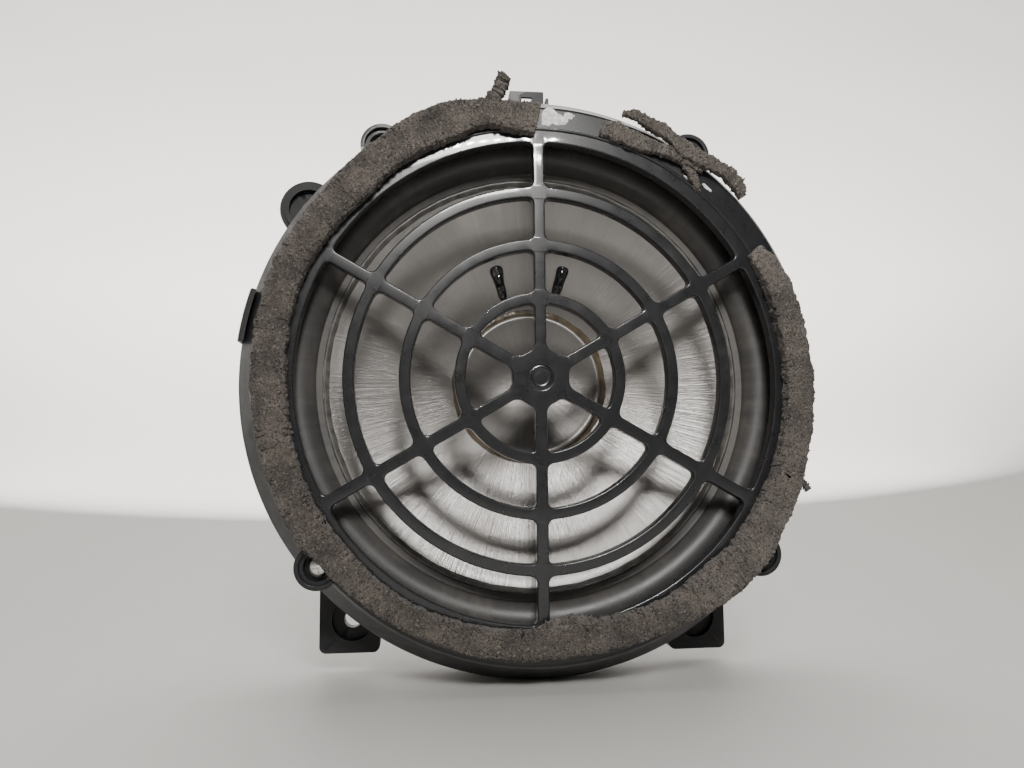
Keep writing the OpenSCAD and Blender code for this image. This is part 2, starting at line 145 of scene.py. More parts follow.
class WooferColours(bpy.types.PropertyGroup):
    """Base colours of the finishes."""

    plastic: colour("Grille plastic", "Moulded black plastic of the grille", (0.010, 0.0105, 0.012))
    basket: colour("Basket plastic", "Glass-filled black plastic", (0.012, 0.012, 0.013))
    # foam_pore_shade is painted shade deep in the pores; foam_light is the rims' own colour with dust.
    foam_pore_shade: colour("Foam, deep", "Foam between the pores' rims", (0.010, 0.0088, 0.008))
    foam_light: colour("Foam, rims", "Dusty rims of the foam's pores", (0.098, 0.083, 0.071))
    rubber: colour("Rubber", "Rubber of the surround", (0.040, 0.0395, 0.039))
    dust: colour("Dust", "Brownish road dust", (0.135, 0.118, 0.100))
    cone: colour("Cone", "Silver-grey cone", (0.25, 0.24, 0.23))
    cap: colour("Dust cap", "Silver-grey dust cap", (0.25, 0.24, 0.23))
    glue: colour("Aged glue", "Clear glue gone brown", (0.10, 0.075, 0.045))
    steel: colour("Steel", "Plated steel", (0.55, 0.55, 0.54))
    copper: colour("Copper", "Enamelled copper wire", (0.55, 0.22, 0.09))
    cloth: colour("Spider cloth", "Resin-dipped cloth", (0.50, 0.30, 0.09))


def sizes():
    """The sizes that the scene holds."""
    return bpy.context.scene.woofer_sizes


def tint(name):
    """One of the scene's base colours."""
    return tuple(getattr(bpy.context.scene.woofer_colours, name))


# ---------------------------------------------------------------- node maths


class Wire:
    """An output socket of a node tree, with arithmetic."""

    def __init__(self, graph, socket):
        self.graph = graph
        self.socket = socket

    def _math(self, operation, first, second):
        return self.graph.node("ShaderNodeMath", {"operation": operation}, {0: first, 1: second})

    def __add__(self, other): return self._math("ADD", self, other)
    def __radd__(self, other): return self._math("ADD", other, self)
    def __sub__(self, other): return self._math("SUBTRACT", self, other)
    def __rsub__(self, other): return self._math("SUBTRACT", other, self)
    def __mul__(self, other): return self._math("MULTIPLY", self, other)
    def __rmul__(self, other): return self._math("MULTIPLY", other, self)
    def __truediv__(self, other): return self._math("DIVIDE", self, other)
    def __rtruediv__(self, other): return self._math("DIVIDE", other, self)
    def __pow__(self, other): return self._math("POWER", self, other)
    def __gt__(self, other): return self._math("GREATER_THAN", self, other)
    def __lt__(self, other): return self._math("LESS_THAN", self, other)


class Graph:
    """A node tree that is written as expressions."""

    def __init__(self, tree):
        self.tree = tree
        tree.nodes.clear()

    def node(self, kind, settings=None, sockets=None, out=0):
        """Adds a node, sets its settings, then its sockets, and returns one of its outputs."""
        made = self.tree.nodes.new(kind)
        for name, value in (settings or {}).items():
            if name == "stops":
                self._stops(made.color_ramp, value)
            else:
                setattr(made, name, value)
        for key, value in (sockets or {}).items():
            if isinstance(value, Wire):
                self.tree.links.new(value.socket, made.inputs[key])
            else:
                made.inputs[key].default_value = value
        return Wire(self, made.outputs[out]) if made.outputs else made

    @staticmethod
    def _stops(ramp, stops):
        while len(ramp.elements) < len(stops):
            ramp.elements.new(1)
        for element, (position, tone) in zip(ramp.elements, stops):
            element.position = position
            element.color = (*tone, 1) if len(tone) == 3 else tone

    def spot(self):
        """The point on the piece, in the row frame."""
        return self.node("ShaderNodeTexCoord", out="Object")

    def split(self, vector):
        made = self.node("ShaderNodeSeparateXYZ", sockets={0: vector})
        outputs = made.socket.node.outputs
        return [Wire(self, outputs[axis]) for axis in "XYZ"]

    def speckle(self, vector, scale, detail=3, rough=0.55):
        """Cloudy noise from 0 to 1."""
        return self.node("ShaderNodeTexNoise", None,
                         {"Vector": vector, "Scale": scale, "Detail": detail, "Roughness": rough}, "Fac")

    def scaled(self, vector, factor):
        """A vector times a number."""
        return self.node("ShaderNodeVectorMath", {"operation": "SCALE"}, {0: vector, "Scale": factor})

    def wave(self, operation, angle):
        """The sine or cosine of an angle in radians."""
        return self.node("ShaderNodeMath", {"operation": operation}, {0: angle})

    def pores(self, vector, scale, feature="F1"):
        return self.node("ShaderNodeTexVoronoi", {"feature": feature}, {"Vector": vector, "Scale": scale}, "Distance")

    def step(self, value, low, high):
        """0 under low, 1 over high, smooth between."""
        return self.node("ShaderNodeMapRange", {"interpolation_type": "SMOOTHSTEP"},
                         {"Value": value, "From Min": low, "From Max": high})

    def mix(self, factor, first, second):
        """A colour between two colours."""
        made = self.tree.nodes.new("ShaderNodeMix")
        made.data_type = "RGBA"
        for index, value in ((0, factor), (6, first), (7, second)):
            if isinstance(value, Wire):
                self.tree.links.new(value.socket, made.inputs[index])
            elif index:
                made.inputs[index].default_value = (*value, 1)
            else:
                made.inputs[index].default_value = value
        return Wire(self, made.outputs[2])

    def bump(self, height, strength, distance, normal=None):
        sockets = {"Height": height, "Strength": strength, "Distance": distance}
        if normal is not None:
            sockets["Normal"] = normal
        return self.node("ShaderNodeBump", None, sockets, "Normal")


def finish_material(name, build, **constants):
    """A material whose surface is what build(graph) returns: a dict of Principled sockets."""
    found = bpy.data.materials.new(name)
    found.use_nodes = True
    graph = Graph(found.node_tree)
    sockets = build(graph)
    shader = graph.node("ShaderNodeBsdfPrincipled", None, {**sockets, **constants})
    graph.node("ShaderNodeOutputMaterial", None, {"Surface": shader})
    return found


def polar_direction(graph, spot):
    """The direction from the speaker's axis, its radius in metres and the height axis."""
    x, y, z = graph.split(spot)
    flat = graph.node("ShaderNodeCombineXYZ", None, {0: x, 2: z})
    radius = graph.node("ShaderNodeVectorMath", {"operation": "LENGTH"}, {0: flat}, "Value")
    direction = graph.node("ShaderNodeVectorMath", {"operation": "NORMALIZE"}, {0: flat})
    return direction, radius, y


# ---------------------------------------------------------------- finishes


def moulded_plastic(name, tone, roughness=0.32, dusty=0.25, scuffs=0.5, matt_from=0.0):
    """Satin moulded plastic with fine grain, wiped dust and hairline scratches; matt beyond a radius in mm."""
    def build(g):
        spot = g.spot()
        _direction, radius, _height = polar_direction(g, spot)
        outside = g.step(radius, matt_from * MM, (matt_from + 1.5) * MM)
        grain = g.speckle(spot, 2600, 2)
        clouds = g.speckle(spot, 38, 5, 0.6)
        smears = g.speckle(spot, 190, 4)
        hair = g.pores(g.node("ShaderNodeMapping", None, {"Vector": spot, "Rotation": (0.1, 0.8, 0.2),
                                                          "Scale": (1, 1, 0.06)}), 900)
        scratch = g.step(hair, 0.06, 0.02) * g.step(clouds, 0.52, 0.66) * scuffs
        dust = g.step(clouds * 0.7 + smears * 0.3, 0.5, 0.76) * dusty
        base = g.mix(dust * 0.6, tone, (0.10, 0.092, 0.082))
        base = g.mix(scratch * 0.5, base, (0.20, 0.20, 0.20))
        rough = roughness + dust * 0.5 + (smears - 0.5) * 0.22 + scratch * 0.2 + outside * 0.2
        height = grain * 0.2 - scratch * 0.5
        return {"Base Color": base, "Roughness": rough, "Coat Weight": 0.6 - outside * 0.52,
                "Normal": g.bump(height, 0.12, 0.00006)}
    return finish_material(name, build, **{"Specular IOR Level": 0.3, "Coat Roughness": 0.045})


def open_foam(name):
    """Crumbling open-cell foam: near-black painted shade in the pores, paler dusty rims, and paler worn stretches,
    which on the long piece's lower right are painted light.
    """
    def build(g):
        spot = g.spot()
        cells = 1000 / sizes().foam_grain * 1.25
        swirl = g.node("ShaderNodeTexNoise", None, {"Vector": spot, "Scale": 420, "Detail": 2}, "Color")
        warped = g.node("ShaderNodeVectorMath", {"operation": "ADD"}, {0: spot, 1: g.scaled(swirl, 0.0009)})
        pore = g.pores(warped, cells)
        small = g.pores(warped, cells * 1.9)
        crust = g.speckle(spot, 1050, 3, 0.7)
        blotch = g.speckle(spot, 95, 4)
        worn = g.node("ShaderNodeAttribute", {"attribute_name": "worn"}, out="Fac")
        rims = g.step(pore * 0.35 + small * 0.3 + crust * 0.55, 0.42, 0.64)
        pore_shade = tint("foam_pore_shade")
        light = tint("foam_light")
        # Near-black between the rims is painted shade in the pores; the rims keep the foam's own dusty colour.
        base = g.mix(rims * g.step(blotch, 0.1, 0.75), pore_shade, light)
        base = g.mix(g.step(g.speckle(spot, 1150, 3), 0.55, 0.69) * rims * 0.5, base, (0.23, 0.20, 0.18))
        # Paler on worn stretches; on the long piece's lower right this paler colour is painted light on the curled
        # foam's lit inner side.
        base = g.mix(worn * rims * 0.6, base, (0.24, 0.215, 0.19))
        height = pore * 0.7 + small * 0.6 + crust * 0.8
        return {"Base Color": base, "Roughness": 0.93 - worn * 0.1, "Normal": g.bump(height, 0.8, 0.0006)}
    return finish_material(name, build, **{"Sheen Weight": 0.12, "Sheen Roughness": 0.6, "Specular IOR Level": 0.25})


def dusty_rubber(name):
    """Satin rubber with brownish dust where the roll meets the cone and the rim."""
    def build(g):
        spot = g.spot()
        direction, radius, _height = polar_direction(g, spot)
        streaks = g.speckle(g.scaled(direction, 24), 1, 4)
        clouds = g.speckle(spot, 60, 5)
        inner = g.step(radius, 0.0832, 0.0800) + g.step(radius, 0.0905, 0.0935) * 0.3
        specks = g.step(g.pores(spot, 420), 0.16, 0.08) * g.step(clouds, 0.42, 0.6)
        dust = g.step(clouds * 0.6 + streaks * 0.4 + inner * 0.12, 0.44, 0.80) * 0.42 + specks * 0.3
        base = g.mix(dust, tint("rubber"), tint("dust"))
        fine = g.speckle(spot, 1800, 3)
        height = fine + clouds * 0.4
        return {"Base Color": base, "Roughness": 0.37 + dust * 0.4 + fine * 0.1,
                "Normal": g.bump(height, 0.25, 0.0002)}
    return finish_material(name, build)


def streaked_cone(name, tone, streak_count=150, metal=0.55):
    """Silver-grey moulded sheet whose gloss is broken up into fine radial streaks."""
    def build(g):
        spot = g.spot()
        direction, _radius, _height = polar_direction(g, spot)
        around = g.scaled(direction, streak_count / 6)
        bent = g.node("ShaderNodeVectorMath", {"operation": "ADD"}, {0: around, 1: g.scaled(spot, 14)})
        streaks = g.speckle(bent, 1.6, 5, 0.72)
        fine = g.speckle(bent, 6.5, 3, 0.7)
        clouds = g.speckle(spot, 30, 4)
        dust = g.step(clouds, 0.48, 0.74) * 0.28
        shade = g.step(streaks, 0.3, 0.72)
        base = g.mix(shade * 0.5, tuple(c * 0.86 for c in tone), tone)
        base = g.mix(dust, base, (0.25, 0.225, 0.20))
        rough = 0.27 + fine * 0.1 + dust * 0.5
        height = streaks + fine * 0.5
        return {"Base Color": base, "Metallic": metal - dust * metal, "Roughness": rough,
                "Normal": g.bump(height, 0.36, 0.00055)}
    return finish_material(name, build, **{"Specular IOR Level": 0.6})


def aged_glue(name, tone, gloss=0.22):
    """Clear glue that has gone brown, thick and thin in turn."""
    def build(g):
        spot = g.spot()
        lumps = g.speckle(spot, 230, 3)
        base = g.mix(g.step(lumps, 0.3, 0.7), tuple(c * 0.45 for c in tone), tone)
        return {"Base Color": base, "Roughness": gloss + lumps * 0.18, "Normal": g.bump(lumps, 0.6, 0.0008)}
    return finish_material(name, build, **{"Coat Weight": 0.35, "Coat Roughness": 0.12})


def black_glue(name):
    """Glossy black drops of glue over the leads."""
    def build(g):
        spot = g.spot()
        lumps = g.speckle(spot, 260, 2)
        dust = g.step(g.speckle(spot, 900, 3), 0.6, 0.75) * 0.18
        base = g.mix(dust, (0.006, 0.006, 0.007), (0.11, 0.10, 0.09))
        return {"Base Color": base, "Roughness": 0.12 + dust, "Normal": g.bump(lumps, 0.5, 0.0007)}
    return finish_material(name, build, **{"Coat Weight": 0.6, "Coat Roughness": 0.08})


def plated_metal(name, tone, roughness=0.34, rust=0.12, brushed=0.5):
    """Zinc-plated steel or brass with turning marks, stains and small pits."""
    def build(g):
        spot = g.spot()
        _direction, radius, _height = polar_direction(g, spot)
        rings = g.node("ShaderNodeTexNoise", {"noise_dimensions": "1D"},
                       {"W": radius * 9000, "Scale": 1, "Detail": 2}, "Fac")
        clouds = g.speckle(spot, 160, 5)
        pits = g.step(g.pores(spot, 1400), 0.2, 0.05)
        stain = g.step(clouds, 0.52, 0.72) * rust
        base = g.mix(stain, tone, (0.19, 0.10, 0.045))
        base = g.mix(pits * 0.25, base, tuple(c * 0.4 for c in tone))
        return {"Base Color": base, "Metallic": 0.95 - stain * 0.8,
                "Roughness": roughness + (clouds - 0.5) * 0.25 + stain,
                "Normal": g.bump(rings * brushed + pits * -0.4 + clouds * 0.3, 0.3, 0.0001)}
    return finish_material(name, build)


def ferrite(name):
    """Sintered ferrite: nearly black, matt, with chips and grinding marks."""
    def build(g):
        spot = g.spot()
        grain = g.speckle(spot, 1300, 4)
        chips = g.step(g.pores(spot, 170), 0.16, 0.06) * g.step(g.speckle(spot, 45, 3), 0.5, 0.65)
        base = g.mix(grain * 0.7, (0.022, 0.022, 0.024), (0.05, 0.05, 0.053))
        base = g.mix(chips * 0.6, base, (0.10, 0.10, 0.105))
        return {"Base Color": base, "Roughness": 0.62 + grain * 0.15, "Normal": g.bump(grain - chips, 0.5, 0.0004)}
    return finish_material(name, build)


def woven_cloth(name, tone):
    """Resin-dipped cloth with a square weave."""
    def build(g):
        spot = g.spot()
        x, _y, z = g.split(spot)
        threads = 5200
        warp = g.wave("SINE", x * threads)
        weft = g.wave("SINE", z * threads)
        weave = warp * weft
        clouds = g.speckle(spot, 90, 4)
        base = g.mix(g.step(weave, -0.4, 0.6) * 0.6 + clouds * 0.25, tuple(c * 0.5 for c in tone), tone)
        return {"Base Color": base, "Roughness": 0.7 + clouds * 0.15, "Normal": g.bump(weave, 0.6, 0.00018)}
    return finish_material(name, build)


def twisted_copper(name, tone):
    """Fine copper strands, partly tarnished."""
    def build(g):
        spot = g.spot()
        clouds = g.speckle(spot, 320, 4)
        strands = g.speckle(spot, 3400, 2)
        base = g.mix(g.step(clouds, 0.4, 0.7) * 0.6, tone, tuple(c * 0.35 for c in tone))
        return {"Base Color": base, "Metallic": 0.85, "Roughness": 0.32 + clouds * 0.25,
                "Normal": g.bump(strands, 0.5, 0.0002)}
    return finish_material(name, build)


def pale_residue(name):
    """Whitish remains of the foam's adhesive."""
    def build(g):
        spot = g.spot()
        lumps = g.speckle(spot, 700, 4)
        base = g.mix(g.step(lumps, 0.35, 0.65), (0.45, 0.44, 0.42), (0.74, 0.73, 0.71))
        return {"Base Color": base, "Roughness": 0.7 + lumps * 0.1, "Normal": g.bump(lumps, 0.3, 0.0002)}
    return finish_material(name, build)


# ---------------------------------------------------------------- mesh tools


def linked(name, data):
    """A new object in the scene."""
    obj = bpy.data.objects.new(name, data)
    bpy.context.scene.collection.objects.link(obj)
    return obj


def shade(mesh, sharp=35):
    """Smooth shading, with edges sharper than sharp degrees kept hard."""
    mesh.shade_smooth()
    mesh.set_sharp_from_angle(angle=math.radians(sharp))


def new_piece(name, points, faces, material, sharp=35):
    """A mesh object at the origin with its place in its mesh, smooth except at edges sharper than sharp degrees."""
    mesh = bpy.data.meshes.new(name)
    mesh.from_pydata([tuple(p) for p in points], [], faces)
    obj = linked(name, mesh)
    tidy_mesh(obj, sharp)
    if material:
        mesh.materials.append(material)
    return obj


def tidy_mesh(obj, sharp=35, merge=1e-7):
    """Merges doubles, turns the faces outwards and sets the shading."""
    work = bmesh.new()
    work.from_mesh(obj.data)
    bmesh.ops.remove_doubles(work, verts=work.verts, dist=merge)
    bmesh.ops.recalc_face_normals(work, faces=work.faces)
    work.to_mesh(obj.data)
    work.free()
    shade(obj.data, sharp)


def evaluated(obj):
    """Replaces obj's mesh by what its modifiers make of it."""
    bpy.context.view_layer.update()
    made = bpy.data.meshes.new_from_object(obj.evaluated_get(bpy.context.evaluated_depsgraph_get()))
    obj.modifiers.clear()
    if obj.type == "MESH":
        obj.data = made
        return obj
    fresh = linked(obj.name + "_mesh", made)
    name = obj.name
    bpy.data.objects.remove(obj)
    fresh.name = name
    return fresh


def fit_in(obj, body, slot, *nodes):
    """obj rides on body and stands for the CAD nodes, which it hides; slot is not used."""
    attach(obj, body)
    if nodes:
        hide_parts(*nodes)
    return obj


def lathe(profile, steps=256, first=0, last=360):
    """Points and faces of a closed (radius, height) outline turned about the speaker's axis."""
    whole = abs(last - first - 360) < 1e-6
    angles = np.radians(np.linspace(first, last, steps, endpoint=not whole))
    outline = np.array(profile, float)
    count = len(outline)
    points = np.stack([np.outer(np.cos(angles), outline[:, 0]),
                       np.broadcast_to(-outline[:, 1], (len(angles), count)),
                       np.outer(np.sin(angles), outline[:, 0])], axis=2).reshape(-1, 3) * MM
    faces = []
    for i in range(steps if whole else steps - 1):
        near, far = i * count, (i + 1) % steps * count
        faces += [(near + k, near + (k + 1) % count, far + (k + 1) % count, far + k) for k in range(count)]
    if not whole:
        faces += [tuple(range(count)), tuple(range((steps - 1) * count, steps * count))[::-1]]
    return points, faces


def lathed(name, profile, material, steps=256, sharp=35):
    """A piece turned about the speaker's axis from a closed outline."""
    points, faces = lathe(profile, steps)
    return new_piece(name, points, faces, material, sharp)


def rounded(outline, radius, count=4):
    """A closed (radius, height) outline with its corners rounded."""
    result = []
    total = len(outline)
    for i in range(total):
        before, corner, after = (Vector(outline[(i + k) % total]) for k in (-1, 0, 1))
        reach = min(radius, (before - corner).length / 2.1, (after - corner).length / 2.1)
        start = corner + (before - corner).normalized() * reach
        end = corner + (after - corner).normalized() * reach
        for k in range(count + 1):
            t = k / count
            result.append(tuple(start * (1 - t) ** 2 + corner * 2 * t * (1 - t) + end * t * t))
    return result


def carve(obj, cutter, operation):
    """Joins cutter to obj or cuts it out, exactly."""
    modifier = obj.modifiers.new("carve", "BOOLEAN")
    modifier.operation = operation
    modifier.solver = "EXACT"
    modifier.object = cutter
    evaluated(obj)
    bpy.data.objects.remove(cutter)


def joined(name, pieces, sharp=35):
    """One piece made of several, with their materials kept."""
    work = bmesh.new()
    materials = []
    for piece in pieces:
        start = len(work.faces)
        work.from_mesh(piece.data)
        work.faces.ensure_lookup_table()
        for material in piece.data.materials:
            if material not in materials:
                materials.append(material)
        own = [materials.index(m) for m in piece.data.materials] or [0]
        for face in work.faces[start:]:
            face.material_index = own[min(face.material_index, len(own) - 1)]
    mesh = bpy.data.meshes.new(name)
    work.to_mesh(mesh)
    work.free()
    for piece in pieces:
        bpy.data.objects.remove(piece)
    for material in materials:
        mesh.materials.append(material)
    obj = linked(name, mesh)
    shade(mesh, sharp)
    return obj


def weighted(obj):
    """Lets the large flat faces keep their own shading next to small fillets."""
    modifier = obj.modifiers.new("flats", "WEIGHTED_NORMAL")
    modifier.mode = "FACE_AREA"
    modifier.weight = 50
    modifier.keep_sharp = True
    return evaluated(obj)


def refined(node, material, bevel=0.0, sharp=32):
    """A copy of a CAD node with merged faces, softened edges and its own finish."""
    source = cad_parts[node]
    obj = linked(node + "_finished", source.data.copy())
    obj.data.materials.clear()
    obj.data.materials.append(material)
    work = bmesh.new()
    work.from_mesh(obj.data)
    bmesh.ops.remove_doubles(work, verts=work.verts, dist=2e-6)
    for face in work.faces:
        face.material_index = 0
    bmesh.ops.dissolve_limit(work, angle_limit=math.radians(0.6), verts=work.verts, edges=work.edges)
    if bevel:
        edges = [e for e in work.edges if len(e.link_faces) == 2 and e.calc_face_angle(0) > math.radians(40)]
        bmesh.ops.bevel(work, geom=edges, offset=bevel * MM, segments=2, profile=0.5, affect="EDGES",
                        clamp_overlap=True)
    work.to_mesh(obj.data)
    work.free()
    shade(obj.data, sharp)
    return weighted(obj)


def catmull(points, steps):
    """A smooth curve through the points."""
    padded = [points[0], *points, points[-1]]
    result = []
    for i in range(len(points) - 1):
        a, b, c, d = (np.array(p, float) for p in padded[i:i + 4])
        for t in np.arange(steps) / steps:
            square = (2 * a - 5 * b + 4 * c - d) * t ** 2
            cube = (3 * b - a - 3 * c + d) * t ** 3
            result.append(0.5 * (2 * b + (c - a) * t + square + cube))
    result.append(np.array(points[-1], float))
    return np.array(result)


# ---------------------------------------------------------------- geometry nodes


def geometry_tree(name, inputs):
    """A node group with a geometry in and out and named inputs: (name, kind, default)."""
    tree = bpy.data.node_groups.new(name, "GeometryNodeTree")
    tree.interface.new_socket("Geometry", in_out="INPUT", socket_type="NodeSocketGeometry")
    tree.interface.new_socket("Geometry", in_out="OUTPUT", socket_type="NodeSocketGeometry")
    for label, kind, default in inputs:
        socket = tree.interface.new_socket(label, in_out="INPUT", socket_type="NodeSocket" + kind)
        if default is not None:
            socket.default_value = default
    graph = Graph(tree)
    source = tree.nodes.new("NodeGroupInput")
    given = {socket.name: Wire(graph, socket) for socket in source.outputs if socket.name}
    return tree, graph, given


def close_tree(graph, shape, material):
    """Realize Instances and Set Material at the end of a tree."""
    whole = graph.node("GeometryNodeRealizeInstances", None, {0: shape})
    painted = graph.node("GeometryNodeSetMaterial", None, {"Geometry": whole, "Material": material})
    output = graph.tree.nodes.new("NodeGroupOutput")
    graph.tree.links.new(painted.socket, output.inputs[0])


def run_tree(obj, tree, values=None):
    """Runs a tree on obj with the named values, and keeps the result as a plain mesh."""
    modifier = obj.modifiers.new(tree.name, "NODES")
    modifier.node_group = tree
    for item in tree.interface.items_tree:
        if item.item_type == "SOCKET" and item.in_out == "INPUT" and item.name in (values or {}):
            modifier[item.identifier] = values[item.name]
    return evaluated(obj)


def template(name, points, faces, sharp=35):
    """A small mesh that a tree repeats; it is removed afterwards."""
    obj = new_piece(name, points, faces, None, sharp)
    obj.hide_render = True
    return obj


def repeated(name, anchors, pattern, material, turn=0.0, seed=3):
    """pattern stamped on every anchor point, each turned at random about the speaker's axis by up to turn radians."""
    tree, g, given = geometry_tree(name + "_stamp", [("Pattern", "Object", None), ("Turn", "Float", 0.0),
                                                     ("Material", "Material", None)])
    stamp = g.node("GeometryNodeObjectInfo", {"transform_space": "ORIGINAL"}, {"Object": given["Pattern"]},
                   "Geometry")
    angle = g.node("FunctionNodeRandomValue", {"data_type": "FLOAT"}, {2: 0.0, 3: given["Turn"], "Seed": seed}, 1)
    turned = g.node("ShaderNodeCombineXYZ", None, {1: angle})
    spread = g.node("GeometryNodeInstanceOnPoints", None, {"Points": given["Geometry"], "Instance": stamp,
                                                           "Rotation": turned})
    close_tree(g, spread, given["Material"])
    obj = new_piece(name, anchors, [], None)
    run_tree(obj, tree, {"Pattern": pattern, "Turn": turn, "Material": material})
    bpy.data.objects.remove(pattern)
    shade(obj.data)
    return obj


# ---------------------------------------------------------------- grille


SPOKES = 6
RING_MIDDLES = (28.5, 47.8, 67.1)
# The wall of a hole in the grille, from the back to the front: how far it stands back, and its height under the front
HOLE_WALL = ((0.5, -4.6), (0.14, -4.5), (0.0, -4.2), (0.0, -0.8), (0.05, -0.5), (0.17, -0.24), (0.36, -0.07),
             (0.6, 0.0))


def hole_distance(points, hole):
    """Signed distance in mm to a rounded hole between rings and spokes, turned so that it lies along +x."""
    inner, outer, flat, fillet = hole
    radius = np.hypot(points[..., 0], points[..., 1])
    half = math.radians(180 / SPOKES)
    reach = sizes().spoke_width / 2
    near = (inner - points[..., 0]) if flat else (inner - radius)
    sides = [points[..., 1] * s * math.cos(half) - points[..., 0] * math.sin(half) + reach for s in (-1, 1)]
    walls = np.stack([near, radius - outer, *sides]) + fillet
    return np.linalg.norm(np.maximum(walls, 0), axis=0) + np.minimum(walls.max(axis=0), 0) - fillet


def hole_loops(hole, side_points=26):
    """One loop of points for each step of the hole's wall, as (loop, point, xy)."""
    inner, outer, _flat, _fillet = hole
    middle = (inner + outer) / 2
    half_r = (outer - inner) / 2
    half_a = math.radians(180 / SPOKES)
    spread = np.linspace(-1, 1, side_points, endpoint=False)
    eased = 1.5 * spread - 0.5 * spread ** 3
    square = np.concatenate([np.stack([np.ones_like(eased), eased], 1), np.stack([-eased, np.ones_like(eased)], 1),
                             np.stack([-np.ones_like(eased), -eased], 1), np.stack([eased, -np.ones_like(eased)], 1)])
    loops = []
    for back, _height in HOLE_WALL:
        low, high = np.zeros(len(square)), np.full(len(square), 1.6)
        for _ in range(40):
            scale = (low + high) / 2
            radius = middle + scale * square[:, 0] * half_r
            angle = scale * square[:, 1] * half_a
            xy = np.stack([radius * np.cos(angle), radius * np.sin(angle)], 1)
            outside = hole_distance(xy, hole) > back
            high = np.where(outside, scale, high)
            low = np.where(outside, low, scale)
        loops.append(xy)
    return np.array(loops)


def grille_holes():
    """(inner, outer, flat inner side, fillet) of each kind of hole, from the hub out."""
    half = sizes().bar_width / 2
    fillet = sizes().fillet
    edges = [r for middle in RING_MIDDLES for r in (middle - half, middle + half)]
    bounds = [sizes().hub_flats / 2, *edges, sizes().opening_radius]
    return [(bounds[i], bounds[i + 1], i == 0, fillet * (0.8 if i == 0 else 1)) for i in range(0, len(bounds), 2)]


def turned(points, angle):
    """Flat points turned by an angle in radians."""
    c, s = math.cos(angle), math.sin(angle)
    return points @ np.array([[c, s], [-s, c]])


def grille_plate(material):
    """The spokes, rings, hub and lip as one closed plate with rounded, filleted holes."""
    rim = sizes().opening_radius + 4.3
    recess_r, recess_depth = 4.6, 0.8
    points, faces = [], []
    front, back = [], []
    circle = np.linspace(0, 2 * np.pi, 361)[:-1]
    rim_xy = np.stack([np.cos(circle), np.sin(circle)], 1) * rim

    def add(xy, height):
        start = len(points)
        points.extend((x * MM, -height * MM, z * MM) for x, z in xy)
        return list(range(start, start + len(xy)))

    def strip(first, second):
        total = len(first)
        faces.extend((first[k], first[(k + 1) % total], second[(k + 1) % total], second[k]) for k in range(total))

    holes = grille_holes()
    for hole in holes:
        loops = hole_loops(hole)
        for i in range(SPOKES):
            rows = [add(turned(loop, 2 * math.pi * i / SPOKES), BARS_H + height) for loop,
                    (_back, height) in zip(loops, HOLE_WALL)]
            for first, second in zip(rows, rows[1:]):
                strip(first, second)
            front.append(rows[-1])
            back.append(rows[0])
    outer_front, outer_back = add(rim_xy, BARS_H), add(rim_xy, BARS_H - sizes().bar_depth)
    strip(outer_front, outer_back)
    small = np.linspace(0, 2 * np.pi, 97)[:-1]
    unit = np.stack([np.cos(small), np.sin(small)], 1)
    dish = [add(unit * r, BARS_H + h) for r, h in ((recess_r + 0.35, 0), (recess_r + 0.08, -0.12), (recess_r, -0.35),
                                                   (recess_r - 0.05, -recess_depth), (recess_r - 0.7, -recess_depth),
                                                   (recess_r - 1.0, -recess_depth + 0.25),
                                                   (recess_r - 1.3, -recess_depth - 0.05),
                                                   (2.2, -recess_depth - 0.15), (1.1, -recess_depth + 0.12))]
    for first, second in zip(dish, dish[1:]):
        strip(first, second)
    faces.append(tuple(dish[-1]))
    for loops, outer, hub, level in ((front, outer_front, dish[0], HOLE_WALL[-1][0]),
                                     (back, outer_back, None, HOLE_WALL[0][0])):
        groups = [*loops, outer] + ([hub] if hub else [])
        index = [i for group in groups for i in group]
        flat = [Vector((points[i][0] / MM, points[i][2] / MM)) for i in index]
        edges, start = [], 0
        for group in groups:
            edges += [(start + k, start + (k + 1) % len(group)) for k in range(len(group))]
            start += len(group)
        _verts, _edges, triangles, origin, _eo, _fo = geometry.delaunay_2d_cdt(flat, edges, [], 0, 1e-5)
        where = [o[0] for o in origin]
        middles = np.array([[sum(flat[where[v]][axis] for v in t) / 3 for axis in (0, 1)] for t in triangles])
        keep = np.ones(len(middles), bool)
        for hole in holes:
            for i in range(SPOKES):
                keep &= hole_distance(turned(middles, -2 * math.pi * i / SPOKES), hole) > level
        if hub:
            keep &= np.hypot(middles[:, 0], middles[:, 1]) > recess_r + 0.35
        faces.extend(tuple(index[where[v]] for v in t) for t, kept in zip(triangles, keep) if kept)
    return new_piece("grille_plate", points, faces, material, 50)


